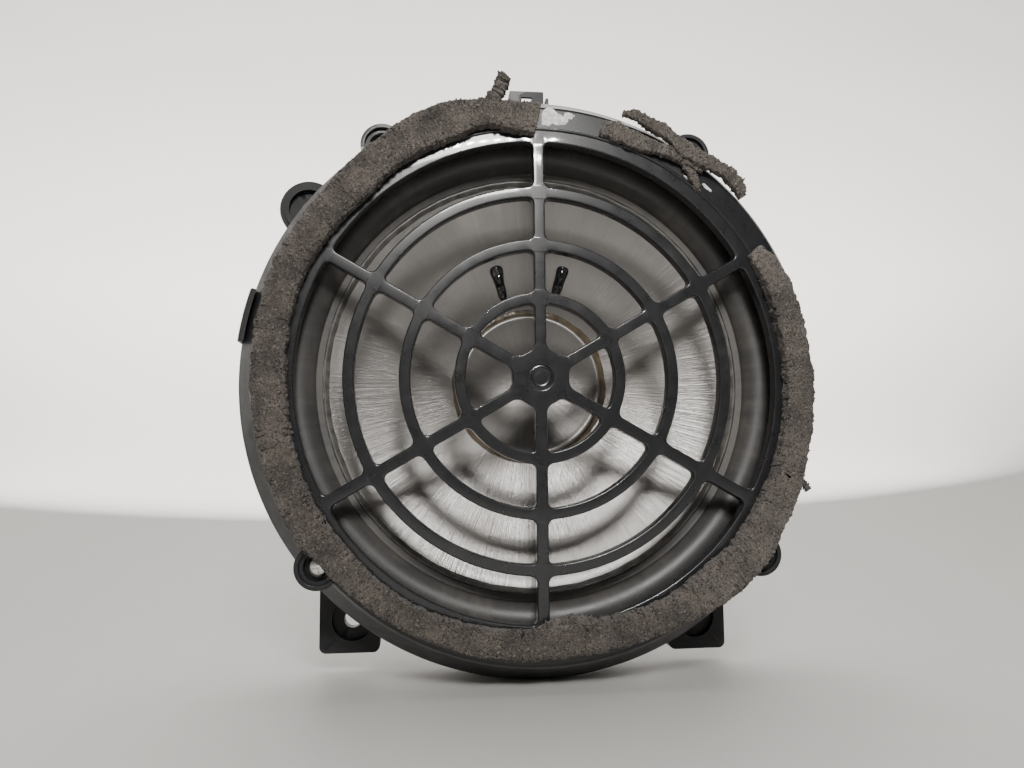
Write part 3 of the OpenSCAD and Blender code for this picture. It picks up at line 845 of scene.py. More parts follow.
def grille_ring(material):
    """The ring with the foam's seat, the flared skirt and the four screw ears."""
    outline = [(89.3, BARS_H - 4.4), (89.3, BARS_H - 0.25), (89.9, BARS_H - 0.1), (90.1, RIDGE_H - 0.15),
               (90.35, RIDGE_H),
               (90.8, RIDGE_H), (91.05, RIDGE_H - 0.2), (91.2, SEAT_H + 0.3), (91.5, SEAT_H), (98.3, SEAT_H),
               (99.2, SEAT_H - 0.15),
               (99.8, SEAT_H - 0.6), (100.1, SEAT_H - 1.3), (SKIRT_R - 0.15, SKIRT_END_H + 0.7),
               (SKIRT_R, SKIRT_END_H + 0.3),
               (SKIRT_R - 0.25, SKIRT_END_H), (SKIRT_R - 2.0, SKIRT_END_H), (SKIRT_R - 2.3, SKIRT_END_H + 0.3),
               (98.3, SEAT_H - 3.4), (97.4, SEAT_H - 2.8), (90.4, SEAT_H - 2.8)]
    ring = lathed("grille_ring", outline, material, 384)
    ear = rounded([(0, SKIRT_END_H + 0.2), (EAR_OUT, SKIRT_END_H + 0.2), (EAR_OUT, SEAT_H - 0.15),
                   (0, SEAT_H - 0.15)], 0.6)
    lip = rounded([(EAR_OUT - 1.4, SEAT_H - 0.6), (EAR_OUT + 0.2, SEAT_H - 0.6), (EAR_OUT + 0.2, RIDGE_H - 0.3),
                   (EAR_OUT - 1.4, RIDGE_H - 0.3)], 0.35)
    recess = [(0, SCREW_SEAT_H), (4.6, SCREW_SEAT_H), (4.75, SEAT_H - 0.5), (5.1, SEAT_H + 2), (0, SEAT_H + 2)]
    shaft = [(0, 15), (1.8, 15), (1.8, SEAT_H), (0, SEAT_H)]
    for angle in EAR_ANGLES:
        centre = place(angle, EAR_R, 0)
        for profile, first, last, operation in ((ear, 0, 360, "UNION"), (lip, angle - 96, angle + 96, "UNION"),
                                                (recess, 0, 360, "DIFFERENCE"), (shaft, 0, 360, "DIFFERENCE")):
            points, faces = lathe(profile, 48, first, last)
            tool = new_piece("tool", points + np.array(centre), faces, None)
            carve(ring, tool, operation)
    tidy_mesh(ring, 38, 5e-6)
    return ring


class WOOFER_OT_grille(bpy.types.Operator):
    """Builds the moulded front ring with its rings, spokes, hub and screw ears"""

    bl_idname = "woofer.grille"
    bl_label = "Front grille"

    def execute(self, context):
        plastic = moulded_plastic("grille_plastic", tint("plastic"), 0.3, 0.22, 0.7, 99.6)
        piece = weighted(joined("front_grille_finished", [grille_plate(plastic), grille_ring(plastic)], 42))
        fit_in(piece, FRONT, "grille_plastic", "front_grille")
        return {"FINISHED"}


# ---------------------------------------------------------------- foam


def ragged(point, grain, depth):
    """Outward shift of the foam's skin at a point in mm: soft lumps, then open pores."""
    lumps = noise.noise(point * 0.16) * 0.3 + noise.noise(point * 0.42) * 0.4
    tears = noise.noise(point * 0.85) * 0.5
    distances = noise.voronoi(point / grain)[0]
    pores = min(distances[0] * 1.5, 0.75) - 0.6
    crumbs = noise.noise(point * 1.9) * 0.3
    return lumps + (tears + pores * 0.5 + crumbs) * depth


def foam_ribbon(name, centre, half_width, thickness, material, section=56, depth=1.0, worn=None, seed=0.0):
    """A ragged strip of foam along a curve of points in mm: (x, z, height of its underside)."""
    count = len(centre)
    along = np.gradient(centre[:, :2], axis=0)
    along /= np.linalg.norm(along, axis=1)[:, None]
    side = np.stack([-along[:, 1], along[:, 0]], 1)
    turn = np.linspace(0, 2 * np.pi, section, endpoint=False)
    power = 0.3
    across = np.sign(np.cos(turn)) * np.abs(np.cos(turn)) ** power
    up = (np.sign(np.sin(turn)) * np.abs(np.sin(turn)) ** power + 1) / 2
    points, marks = [], []
    shift = Vector((seed, seed * 0.7, -seed))
    for i in range(count):
        for a, u in zip(across, up):
            x = centre[i, 0] + side[i, 0] * a * half_width[i]
            z = centre[i, 1] + side[i, 1] * a * half_width[i]
            h = centre[i, 2] + u * thickness[i]
            out = Vector((side[i, 0] * a, side[i, 1] * a, (u - 0.5) * 1.6))
            out.normalize()
            push = ragged(Vector((x, z, h)) + shift, sizes().foam_grain, depth) * min(1.0, half_width[i] / 2.5)
            push *= 0.15 + 0.85 * min(1.0, u * 4)
            points.append(((x + out.x * push) * MM, -(h + max(out.z, 0) * push) * MM, (z + out.y * push) * MM))
            patchy = 0.4 + 0.6 * abs(noise.noise(Vector((x, z, h)) * 0.8))
            marks.append(0.0 if worn is None else float(worn[i]) * patchy)
    faces = []
    for i in range(count - 1):
        for k in range(section):
            a, b = i * section + k, i * section + (k + 1) % section
            faces.append((a, b, b + section, a + section))
    for start, step in ((0, -1), ((count - 1) * section, 1)):
        middle = len(points)
        ring = points[start:start + section]
        points.append(tuple(np.mean(ring, axis=0)))
        marks.append(1.0)
        for k in range(section):
            edge = (start + k, start + (k + 1) % section)
            faces.append((middle, *edge[::step]))
    obj = new_piece(name, points, faces, material, 180)
    if len(obj.data.vertices) == len(marks):
        obj.data.attributes.new("worn", "FLOAT", "POINT").data.foreach_set("value", np.array(marks, np.float32))
    return obj


def crumbs_on(obj, material, density, size, seed):
    """Scatters loose crumbs of foam over a piece, with Geometry Nodes."""
    tree, g, given = geometry_tree(obj.name + "_crumbs", [
        ("Density", "Float", 1000.0), ("Size", "Float", 0.001), ("Seed", "Int", 1), ("Material", "Material", None)])
    scatter = g.node("GeometryNodeDistributePointsOnFaces", None,
                     {"Mesh": given["Geometry"], "Density": given["Density"], "Seed": given["Seed"]})
    crumb = g.node("GeometryNodeMeshIcoSphere", None, {"Radius": given["Size"], "Subdivisions": 1})
    spin = g.node("FunctionNodeRandomValue", {"data_type": "FLOAT_VECTOR"},
                  {0: (0, 0, 0), 1: (6.28, 6.28, 6.28), "Seed": 5})
    scale = g.node("FunctionNodeRandomValue", {"data_type": "FLOAT_VECTOR"},
                   {0: (0.35, 0.35, 0.35), 1: (1.25, 0.9, 1.1), "Seed": 9})
    spread = g.node("GeometryNodeInstanceOnPoints", None,
                    {"Points": scatter, "Instance": crumb, "Rotation": spin, "Scale": scale})
    both = g.tree.nodes.new("GeometryNodeJoinGeometry")
    g.tree.links.new(given["Geometry"].socket, both.inputs[0])
    g.tree.links.new(spread.socket, both.inputs[0])
    close_tree(g, Wire(g, both.outputs[0]), given["Material"])
    return run_tree(obj, tree, {"Density": density, "Size": size, "Seed": seed, "Material": material})


def keyed(angles, keys):
    """Values at the angles, on straight lines between (angle, value) keys."""
    where, value = zip(*keys)
    return np.interp(angles, where, value)


def wander(angles, scale, seed):
    """A slow random drift along the angles."""
    return np.array([noise.noise(Vector((a * scale, seed, 0.3 * seed))) for a in angles])


def main_foam(material):
    """The long piece: clockwise from its torn tip at the upper right to its cut end at the top."""
    stations = 900
    angles = np.linspace(90.3, 390.6, stations)
    inner = keyed(angles, [(90, 88.2), (93.6, 88.4), (96, 89), (98.7, 91), (102, 92.2), (105.4, 91.7), (109, 90.2),
                           (118, 89.8),
                           (124, 89.5), (130.6, 88.2), (137, 87.8), (144, 88.4), (160, 89.1), (166, 88.4),
                           (185, 87.4), (195, 87.6),
                           (204, 88.5), (224, 88), (232, 89), (241, 88.9), (253, 87.6), (262, 86.9), (268, 86.3),
                           (272, 85.2),
                           (278.5, 84.9), (286, 85.7), (293, 87), (298.5, 87.8), (311, 87.6), (318, 88.8),
                           (332, 88.4),
                           (345, 88.8), (352, 88.4), (373.7, 88), (384.7, 88.4), (388, 88.6), (390.6, 90)])
    outer = keyed(angles, [(90, 98.6), (92, 99.2), (97.5, 99.8), (101.6, 101.6), (107.8, 103.1), (112, 103.4),
                           (116.4, 102.8),
                           (123, 101.5), (128.7, 100.7), (134.4, 100), (142, 99.4), (157, 100), (163, 99.4),
                           (185, 98.9),
                           (203, 98.9), (210, 99.4), (214, 99.8), (218, 98.4), (224, 98), (235, 97.4), (257, 96.8),
                           (269, 96),
                           (277.5, 95.7), (286, 96.4), (295.5, 97.2), (305, 99.4), (312, 101.5), (321.8, 101.8),
                           (327, 100.4),
                           (336.6, 99.9), (337.6, 97.2), (338.6, 99.6), (344, 99), (352.8, 98), (361, 98.6),
                           (364, 97.4),
                           (372.3, 97.7), (383.4, 97), (388, 96.3), (390.6, 94.6)])
    inner += wander(angles, 0.5, 1.7) * 0.35 + wander(angles, 1.6, 4.1) * 0.3
    outer += wander(angles, 0.5, 7.3) * 0.35 + wander(angles, 1.7, 2.9) * 0.4
    tall = keyed(angles, [(90, 4.2), (96, 5.8), (120, 6.2), (250, 6.0), (300, 6.3), (340, 6.2), (380, 6),
                          (390.6, 3.4)])
    tall += wander(angles, 0.3, 9.1) * 0.5
    middle = (inner + outer) / 2
    turn = np.radians(angles)
    lift = keyed(angles, [(90, 0.0), (300, 0.0), (322, 0.25), (340, 0.0), (391, 0.2)])
    centre = np.stack([middle * np.cos(turn), middle * np.sin(turn), SEAT_H + 0.05 + lift], 1)
    # Paler at the torn tip and the cut end from wear, and at 306°–330° as painted light on the curled foam's lit inner
    # side.
    worn = keyed(angles, [(90, 0.5), (94, 0.1), (120, 0.05), (296, 0.05), (306, 0.5), (330, 0.45), (342, 0.1),
                          (384, 0.2), (390.6, 1.0)])
    section = 58
    return foam_ribbon("foam_gasket_finished", centre, (outer - inner) / 2, tall, material, section, 1.0, worn)


def torn_branch(name, route, widths, talls, material, seed, steps=26):
    """A torn strip along given points: (angle, radius, height over the seat)."""
    seat = SEAT_H + 0.1
    spots = catmull([(r * math.cos(math.radians(a)), r * math.sin(math.radians(a)), seat + h) for a, r, h in route],
                    steps)
    share = np.linspace(0, 1, len(spots))
    keys = np.linspace(0, 1, len(widths))
    half = np.interp(share, keys, widths) / 2 + (wander(share * 40, 0.5, seed) + wander(share * 40, 1.3,
            seed + 8)) * 0.7
    tall = np.interp(share, keys, talls) + wander(share * 40, 0.6, seed + 3) * 0.7
    worn = np.clip(0.25 + wander(share * 30, 0.4, seed + 5), 0, 1)
    return foam_ribbon(name, spots, np.maximum(half, 0.5), np.maximum(tall, 0.8), material, 30, 0.9, worn, seed)


class WOOFER_OT_foam(bpy.types.Operator):
    """Builds the worn foam seal: the long piece with its finger, the torn strip and the glue left on the seat"""

    bl_idname = "woofer.foam"
    bl_label = "Foam seal"

    def execute(self, context):
        foam = open_foam("foam")
        finger = torn_branch("finger", [(100.8, 97, 1), (99.8, 100.4, 1.8), (98.6, 102.7, 2.2),
                                        (97.6, 105.2, 2.8), (96.6, 108.6, 2.4)], (5.4, 5, 4.4, 4.6, 4),
                             (4, 4, 3.6, 3.8, 3), foam, 2.0)
        knot = torn_branch("knot", [(97.6, 105.8, 3.4), (97, 107.4, 4.2), (96.2, 108.6, 3.6)], (3, 4.8, 3),
                           (2.4, 3.4, 2.4), foam, 6.0)
        flap = torn_branch("flap", [(338.2, 96.4, 3.6), (337.9, 98.6, 3.9), (337.4, 101.4, 3.6), (336.9, 103.4, 3)],
                           (2.4, 2.2, 1.8, 1.2), (2.2, 2.4, 2, 1.2), foam, 31.0)
        shreds = torn_branch("shreds", [(268.5, 87, 1.4), (272, 85, 1.8), (276, 84.2, 1.6), (281, 85.2, 1.4)],
                             (3, 3.8, 3.4, 2.6), (3, 3.4, 3, 2.4), foam, 37.0)
        gasket = joined("foam_gasket_finished", [main_foam(foam), finger, knot, flap, shreds], 180)
        gasket = crumbs_on(gasket, foam, 90000, 0.0006, 4)
        fit_in(gasket, FRONT, "foam", "foam_gasket")
        inner = torn_branch("inner", [(75.8, 94.4, 0), (72.6, 94.2, 0), (67.5, 93.6, 0.2), (62.3, 95.2, 0),
                                      (57, 96.8, 0.3),
                                      (51.5, 97.6, 0.6)], (4, 7.2, 6.2, 4.2, 4, 2.4), (2.4, 4, 3.6, 3, 3.2, 2), foam,
                            11.0)
        outer = torn_branch("outer", [(72.2, 101.6, 1), (69.6, 102.6, 1.4), (66.5, 101.8, 1), (62, 101.4, 0.8),
                                      (56.5, 99.4, 0.6), (51.5, 101, 0.8), (47.5, 102.6, 0.4), (44, 102.8, -0.6),
                                      (41.4, 102, -1.6)], (2.6, 3.2, 4.6, 4.4, 5.4, 5, 5, 5.2, 3),
                            (2.6, 3, 3.4, 3.2, 4, 3.6, 3.6, 3.6, 2.4), foam, 15.0)
        bridge = torn_branch("bridge", [(58, 97.4, 0), (54, 95, 0), (50.8, 92.4, -0.1), (49.4, 90.4, 0)],
                             (4.4, 3.4, 2.6, 1.6), (3, 2.2, 1.8, 1.2), foam, 21.0)
        strip = joined("foam_torn_strip_finished", [inner, outer, bridge], 180)
        strip = crumbs_on(strip, foam, 130000, 0.0006, 8)
        fit_in(strip, FRONT, "foam", "foam_torn_strip")
        self.residue()
        return {"FINISHED"}

    @staticmethod
    def residue():
        """Thin whitish patches of adhesive on the bare seat."""
        pale = pale_residue("adhesive_residue")
        patches = []
        for index, (angle, radius, long, wide) in enumerate(((87.4, 96.2, 4.0, 2.6), (85.0, 95.2, 3.4, 1.9),
                                                             (83.2, 97.2, 2.2, 1.1),
                                                             (87.9, 93.2, 1.8, 1.0), (48.5, 94.6, 2.2, 0.7),
                                                             (53.0, 92.6, 1.8, 0.6))):
            ring, circles = 22, 6
            points, faces = [tuple(place(angle, radius, SEAT_H + 0.35))], []
            for c in range(1, circles + 1):
                for k in range(ring):
                    turn = 2 * math.pi * k / ring
                    edge = 1 + 0.45 * noise.noise(Vector((math.cos(turn) * 1.6, math.sin(turn) * 1.6, index * 3.1)))
                    share = c / circles
                    x, z = long * share * edge * math.cos(turn), wide * share * edge * math.sin(turn)
                    dome = 0.3 * math.sqrt(max(0, 1 - share ** 3))
                    bumps = 0.8 + 0.2 * noise.noise(Vector((x, z, index)) * 0.9)
                    height = SEAT_H + dome * bumps - 0.03 * share
                    local = Matrix.Rotation(math.radians(angle), 2) @ Vector((z, x))
                    spot = place(angle, radius, height)
                    points.append((spot.x + local.x * MM, spot.y, spot.z + local.y * MM))
            faces += [(0, 1 + k, 1 + (k + 1) % ring) for k in range(ring)]
            for c in range(circles - 1):
                a = 1 + c * ring
                faces += [(a + k, a + ring + k, a + ring + (k + 1) % ring, a + (k + 1) % ring) for k in range(ring)]
            last = 1 + (circles - 1) * ring
            faces.append(tuple(range(last, last + ring)))
            patches.append(new_piece("patch", points, faces, pale, 60))
        fit_in(joined("adhesive_residue_finished", patches, 60), FRONT, "foam")


# ---------------------------------------------------------------- cone, surround and cap


def radial_blend(obj, inner, outer):
    """Bakes obj's placement into its mesh; inner and outer, radii in mm, have no effect."""
    place(0, inner, 0)
    place(0, outer, 0)
    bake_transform(obj)


class WOOFER_OT_cone(bpy.types.Operator):
    """Builds the cone, its surround, the dust cap and the glue between them"""

    bl_idname = "woofer.cone"
    bl_label = "Cone and surround"

    def execute(self, context):
        self.cone()
        self.surround()
        self.cap()
        self.blobs()
        return {"FINISHED"}

    @staticmethod
    def cone():
        """Thin shell with a moulded step near its edge and a curved fall to the neck."""
        neck = FORMER_OUT_R + 0.65
        edge = CONE_EDGE_R
        top = [(CONE_FLANGE_R, CONE_EDGE_H), (edge + 0.3, CONE_EDGE_H)]
        top += [(r, cone_top(r) + (0.16 if r > edge - 3.2 else 0.0)) for r in np.linspace(edge - 0.2, 29, 40)]
        top += [(NECK_R, NECK_H), (neck + 0.9, 1.1), (neck, 0.9)]
        low = [(neck, -3.0), (neck + 0.5, -3.0), (neck + 0.5, -0.1)]
        low += [(r, cone_top(r) - SHEET) for r in np.linspace(NECK_R, edge, 24)]
        low += [(CONE_FLANGE_R, CONE_EDGE_H - SHEET)]
        piece = lathed("cone_finished", top + low, streaked_cone("cone_sheet", tint("cone"), 150, 0.72), 384, 30)
        fit_in(piece, CONE, "cone_polypropylene", "cone")

    @staticmethod
    def surround():
        """Half-roll rubber with lands, small steps where the roll starts and a fine moulding line."""
        land = CONE_EDGE_H + 0.05
        skin = 0.9
        roll_in, roll_out = CONE_FLANGE_R + 0.4, 93.4
        middle, reach = (roll_in + roll_out) / 2, (roll_out - roll_in) / 2
        bend = np.linspace(math.pi, 0, 40)
        outer = [(middle + (reach + skin / 2) * math.cos(t), land + (reach + skin / 2) * math.sin(t)) for t in bend]
        under = [(middle + (reach - skin / 2) * math.cos(t),
                  land + (reach - skin / 2) * math.sin(t)) for t in bend[::-1]]
        top = [(CONE_EDGE_R, land), (CONE_EDGE_R, land + 0.75), (CONE_EDGE_R + 0.25, land + skin),
               (outer[0][0] - 0.3, land + skin)]
        top += [p for p in outer if p[1] > land + skin]
        top += [(outer[-1][0] + 0.3, land + skin), (95.2, land + skin), (95.5, land + skin + 0.25),
                (95.9, land + skin + 0.25),
                (96.2, land + skin), (SURROUND_OUT_R, land + skin), (SURROUND_OUT_R, land)]
        top += [(under[0][0], land)] + under[1:-1] + [(under[-1][0], land)]
        piece = lathed("surround_finished", top, dusty_rubber("surround_rubber"), 320, 40)
        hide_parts("surround")
        radial_blend(piece, CONE_FLANGE_R + 0.2, 93.6)
        bead = rounded([(CONE_EDGE_R - 2.4, cone_top(CONE_EDGE_R - 2.4) + 0.02),
                        (CONE_EDGE_R - 0.08, CONE_EDGE_H + 0.02),
                        (CONE_EDGE_R - 0.08, CONE_EDGE_H + 0.8), (CONE_EDGE_R - 0.8, CONE_EDGE_H + 0.85)], 0.3, 3)
        points, faces = lathe(bead, 320)
        for i, spot in enumerate(points):
            swell = noise.noise(Vector(spot) * 160) * 0.00025
            points[i] = spot * (1 + swell / max(np.hypot(spot[0], spot[2]), 1e-6) * np.array([1, 0, 1]))
        glue = new_piece("surround_glue_finished", points, faces,
                         aged_glue("surround_glue", (0.095, 0.090, 0.083), 0.4), 50)
        fit_in(glue, CONE, "surround_glue", "surround_glue")

    @staticmethod
    def cap():
        """Dished cap with a rolled rim, and the irregular ring of glue at its foot."""
        rim = CAP_OUT_R
        dish = rim - 2.2
        steps = 26
        top = [(rim, CAP_FOOT_H), (rim, CAP_RIM_H - 1.1), (rim - 0.15, CAP_RIM_H - 0.45),
               (rim - 0.55, CAP_RIM_H - 0.08),
               (rim - 1.0, CAP_RIM_H), (rim - 1.45, CAP_RIM_H - 0.1)]
        top += [(dish * k / steps, 2.6 + 6 * (k / steps) ** 2) for k in range(steps, -1, -1)]
        low = [(dish * k / steps, 2.0 + 6 * (k / steps) ** 2) for k in range(0, steps + 1)]
        low += [(rim - 1.0, CAP_RIM_H - 0.6), (rim - 0.7, CAP_RIM_H - 1.3), (rim - 0.7, CAP_FOOT_H)]
        cap = lathed("dust_cap_finished", top + low, streaked_cone("cap_sheet", tint("cap"), 60, 0.6), 256, 40)
        fit_in(cap, CONE, "dust_cap_plastic", "dust_cap")
        glue_in = rim + 0.02
        bead = rounded([(glue_in, cone_top(glue_in) + 0.03), (glue_in + 3.2, cone_top(glue_in + 3.2) + 0.02),
                        (glue_in + 1.1, cone_top(glue_in + 1.1) + 1.1), (glue_in, cone_top(glue_in) + 2.5)], 0.5, 4)
        points, faces = lathe(bead, 256)
        middle = glue_in + 0.6
        for i, spot in enumerate(points):
            radius = math.hypot(spot[0], spot[2]) / MM
            wave = noise.noise(Vector((spot[0], 0, spot[2])) * 130) * 0.45 + noise.noise(Vector(spot) * 420) * 0.15
            push = max(0.0, radius - middle) * wave * 0.6
            points[i] = spot * (1 + push * MM / (radius * MM) * np.array([1, 0, 1]))
        glue = new_piece("dust_cap_glue_finished", points, faces, aged_glue("cap_glue", tint("glue")), 60)
        fit_in(glue, CONE, "clear_glue", "dust_cap_glue")

    @staticmethod
    def blobs():
        """Black drops of glue, fat at the outer end, with the lead's ridge under them."""
        gloss = black_glue("black_glue")
        slope = math.atan2(CONE_EDGE_H - NECK_H, CONE_EDGE_R - NECK_R)
        for node, angle in (("lead_glue_left", 106.5), ("lead_glue_right", 74.0)):
            rows, ring = 34, 28
            points, faces = [], []
            for i in range(rows):
                share = i / (rows - 1)
                along = (share - 0.5) * 15.5
                body = math.sqrt(max(0.0, 1 - (2 * share - 1) ** 4)) * (0.42 + 0.58 * share ** 1.4) + 0.02
                wide = 3.1 * body * (1 + 0.1 * math.sin(share * 9 + angle))
                tall = 2.6 * body * (1 + 0.18 * math.sin(share * 14 + angle))
                for k in range(ring):
                    turn = math.pi * k / (ring - 1)
                    a, u = math.cos(turn), math.sin(turn)
                    ridge = 0.35 * math.exp(-(a * 3) ** 2) * body
                    across, up = wide * a, (tall * u ** 0.8 + ridge) * (0.999 if 0 < k < ring - 1 else 0)
                    wobble = noise.noise(Vector((along, across, angle)) * 0.6) * 0.3 * u
                    radius = GLUE_DROP_R + along * math.cos(slope) - (up + wobble) * math.sin(slope)
                    height = cone_top(GLUE_DROP_R) + 0.05 + along * math.sin(slope) + (up + wobble) * math.cos(slope)
                    spot = place(angle, radius, height)
                    side = Vector((-math.sin(math.radians(angle)), 0, math.cos(math.radians(angle)))) * across * MM
                    points.append(tuple(spot + side))
            for i in range(rows - 1):
                for k in range(ring - 1):
                    a = i * ring + k
                    faces.append((a, a + 1, a + ring + 1, a + ring))
                faces.append((i * ring, (i + 1) * ring, (i + 2) * ring - 1, (i + 1) * ring - 1))
            faces += [tuple(range(ring)), tuple(range((rows - 1) * ring, rows * ring))]
            fit_in(new_piece(node + "_finished", points, faces, gloss, 60), CONE, "black_glue", node)


# ---------------------------------------------------------------- motor


class WOOFER_OT_motor(bpy.types.Operator):
    """Builds the spider, the former with its winding, the plates, the magnet and the rivets"""

    bl_idname = "woofer.motor"
    bl_label = "Spider, coil and motor"

    def execute(self, context):
        self.spider()
        self.winding()
        amber = aged_glue("neck_glue", (0.24, 0.15, 0.05))
        fit_in(refined("neck_glue", amber), CONE, "clear_glue", "neck_glue")
        paper = woven_cloth("former_paper", (0.42, 0.25, 0.09))
        fit_in(refined("coil_former", paper), CONE, "former_paper", "coil_former")
        steel = plated_metal("plate_steel", tint("steel"), 0.36, 0.2)
        fit_in(refined("top_plate", steel, 0.4), FRONT, "plate_steel", "top_plate")
        fit_in(refined("back_yoke", steel, 0.4), FRONT, "plate_steel", "back_yoke")
        fit_in(refined("magnet", ferrite("ferrite"), 0.3), FRONT, "ferrite", "magnet")
        self.rivets(steel)
        return {"FINISHED"}

    @staticmethod
    def spider():
        """Corrugated cloth disc, from a grid bent by a node tree."""
        cloth = woven_cloth("spider_cloth", tint("cloth"))
        tree, g, given = geometry_tree("corrugation", [
            ("Inner radius", "Float", 0.0), ("Outer radius", "Float", 0.0), ("Height", "Float", 0.0),
            ("Depth", "Float", 0.0),
            ("Waves", "Float", 6.0), ("Material", "Material", None)])
        grid = g.node("GeometryNodeMeshGrid", None, {"Size X": 1.0, "Size Y": 1.0, "Vertices X": 241,
                                                     "Vertices Y": 73})
        u, v, _w = g.split(g.node("GeometryNodeInputPosition"))
        turn = (u + 0.5) * (2 * math.pi)
        share = v + 0.5
        radius = given["Inner radius"] + (given["Outer radius"] - given["Inner radius"]) * share
        inside = g.step(share, 0.04, 0.12) * g.step(share, 0.96, 0.84)
        ripple = g.wave("SINE", share * given["Waves"] * (2 * math.pi))
        height = given["Height"] + ripple * given["Depth"] * inside
        cosine = g.wave("COSINE", turn)
        sine = g.wave("SINE", turn)
        spot = g.node("ShaderNodeCombineXYZ", None, {0: cosine * radius, 1: 0 - height, 2: sine * radius})
        bent = g.node("GeometryNodeSetPosition", None, {"Geometry": grid, "Position": spot})
        close_tree(g, bent, given["Material"])
        obj = new_piece("spider_finished", [(0, 0, 0)], [], None)
        run_tree(obj, tree, {"Inner radius": (FORMER_OUT_R + 0.08) * MM, "Outer radius": 59 * MM, "Height": -8.7 * MM,
                             "Depth": 1.6 * MM, "Waves": float(sizes().spider_waves), "Material": cloth})
        tidy_mesh(obj, 180, 1e-6)
        wall = obj.modifiers.new("wall", "SOLIDIFY")
        wall.thickness = 0.55 * MM
        wall.offset = 0
        evaluated(obj)
        shade(obj.data, 40)
        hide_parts("spider")
        radial_blend(obj, 21, 51)

    @staticmethod
    def winding():
        """The coil's wire as real turns: a spiral swept by a node tree."""
        copper = twisted_copper("coil_wire", tint("copper"))
        low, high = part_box("voice_coil")
        turns = sizes().winding_turns
        wire = (high.y - low.y) / turns / 2
        tree, g, given = geometry_tree("winding", [
            ("Turns", "Float", 30.0), ("Radius", "Float", 0.02), ("Length", "Float", 0.01), ("Wire", "Float", 0.0002),
            ("Material", "Material", None)])
        spiral = g.node("GeometryNodeCurveSpiral", None, {
            "Resolution": 64, "Rotations": given["Turns"], "Start Radius": given["Radius"],
            "End Radius": given["Radius"],
            "Height": given["Length"]})
        ring = g.node("GeometryNodeCurvePrimitiveCircle", None, {"Resolution": 8, "Radius": given["Wire"]})
        swept = g.node("GeometryNodeCurveToMesh", None, {"Curve": spiral, "Profile Curve": ring, "Fill Caps": True})
        close_tree(g, swept, given["Material"])
        obj = new_piece("voice_coil_finished", [(0, 0, 0)], [], None)
        run_tree(obj, tree, {"Turns": float(turns - 1), "Radius": high.x - wire, "Length": high.y - low.y - 2 * wire,
                             "Wire": wire, "Material": copper})
        obj.data.transform(Matrix.Translation((0, low.y + wire, 0)) @ Matrix.Rotation(math.radians(-90), 4, "X"))
        tidy_mesh(obj, 180)
        under = refined("voice_coil", copper)
        spots = np.array([v.co for v in under.data.vertices])
        radius = np.hypot(spots[:, 0], spots[:, 2])
        shrink = np.minimum(1, (high.x - 1.2 * wire) / radius)
        for vertex, scale in zip(under.data.vertices, shrink):
            vertex.co.x *= scale
            vertex.co.z *= scale
        fit_in(joined("voice_coil_finished", [obj, under], 60), CONE, "coil_copper", "voice_coil")

    @staticmethod
    def rivets(steel):
        """Four rivets with rounded heads, stamped on the top plate."""
        low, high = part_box("plate_rivets")
        tail, head = -high.y / MM, -low.y / MM
        profile = [(0, tail), (2.2, tail), (2.2, -22), (3.7, -22), (3.8, -21.6), (3.3, -21.0), (2.3, head + 0.1),
                   (0.8, head), (0, head)]
        points, faces = lathe(profile, 28)
        pattern = template("rivet", points, faces)
        spots = [place(45 + 90 * i, 41, 0) for i in range(4)]
        fit_in(repeated("plate_rivets_finished", spots, pattern, steel), FRONT, "plate_steel", "plate_rivets")


# ---------------------------------------------------------------- housing and fixings


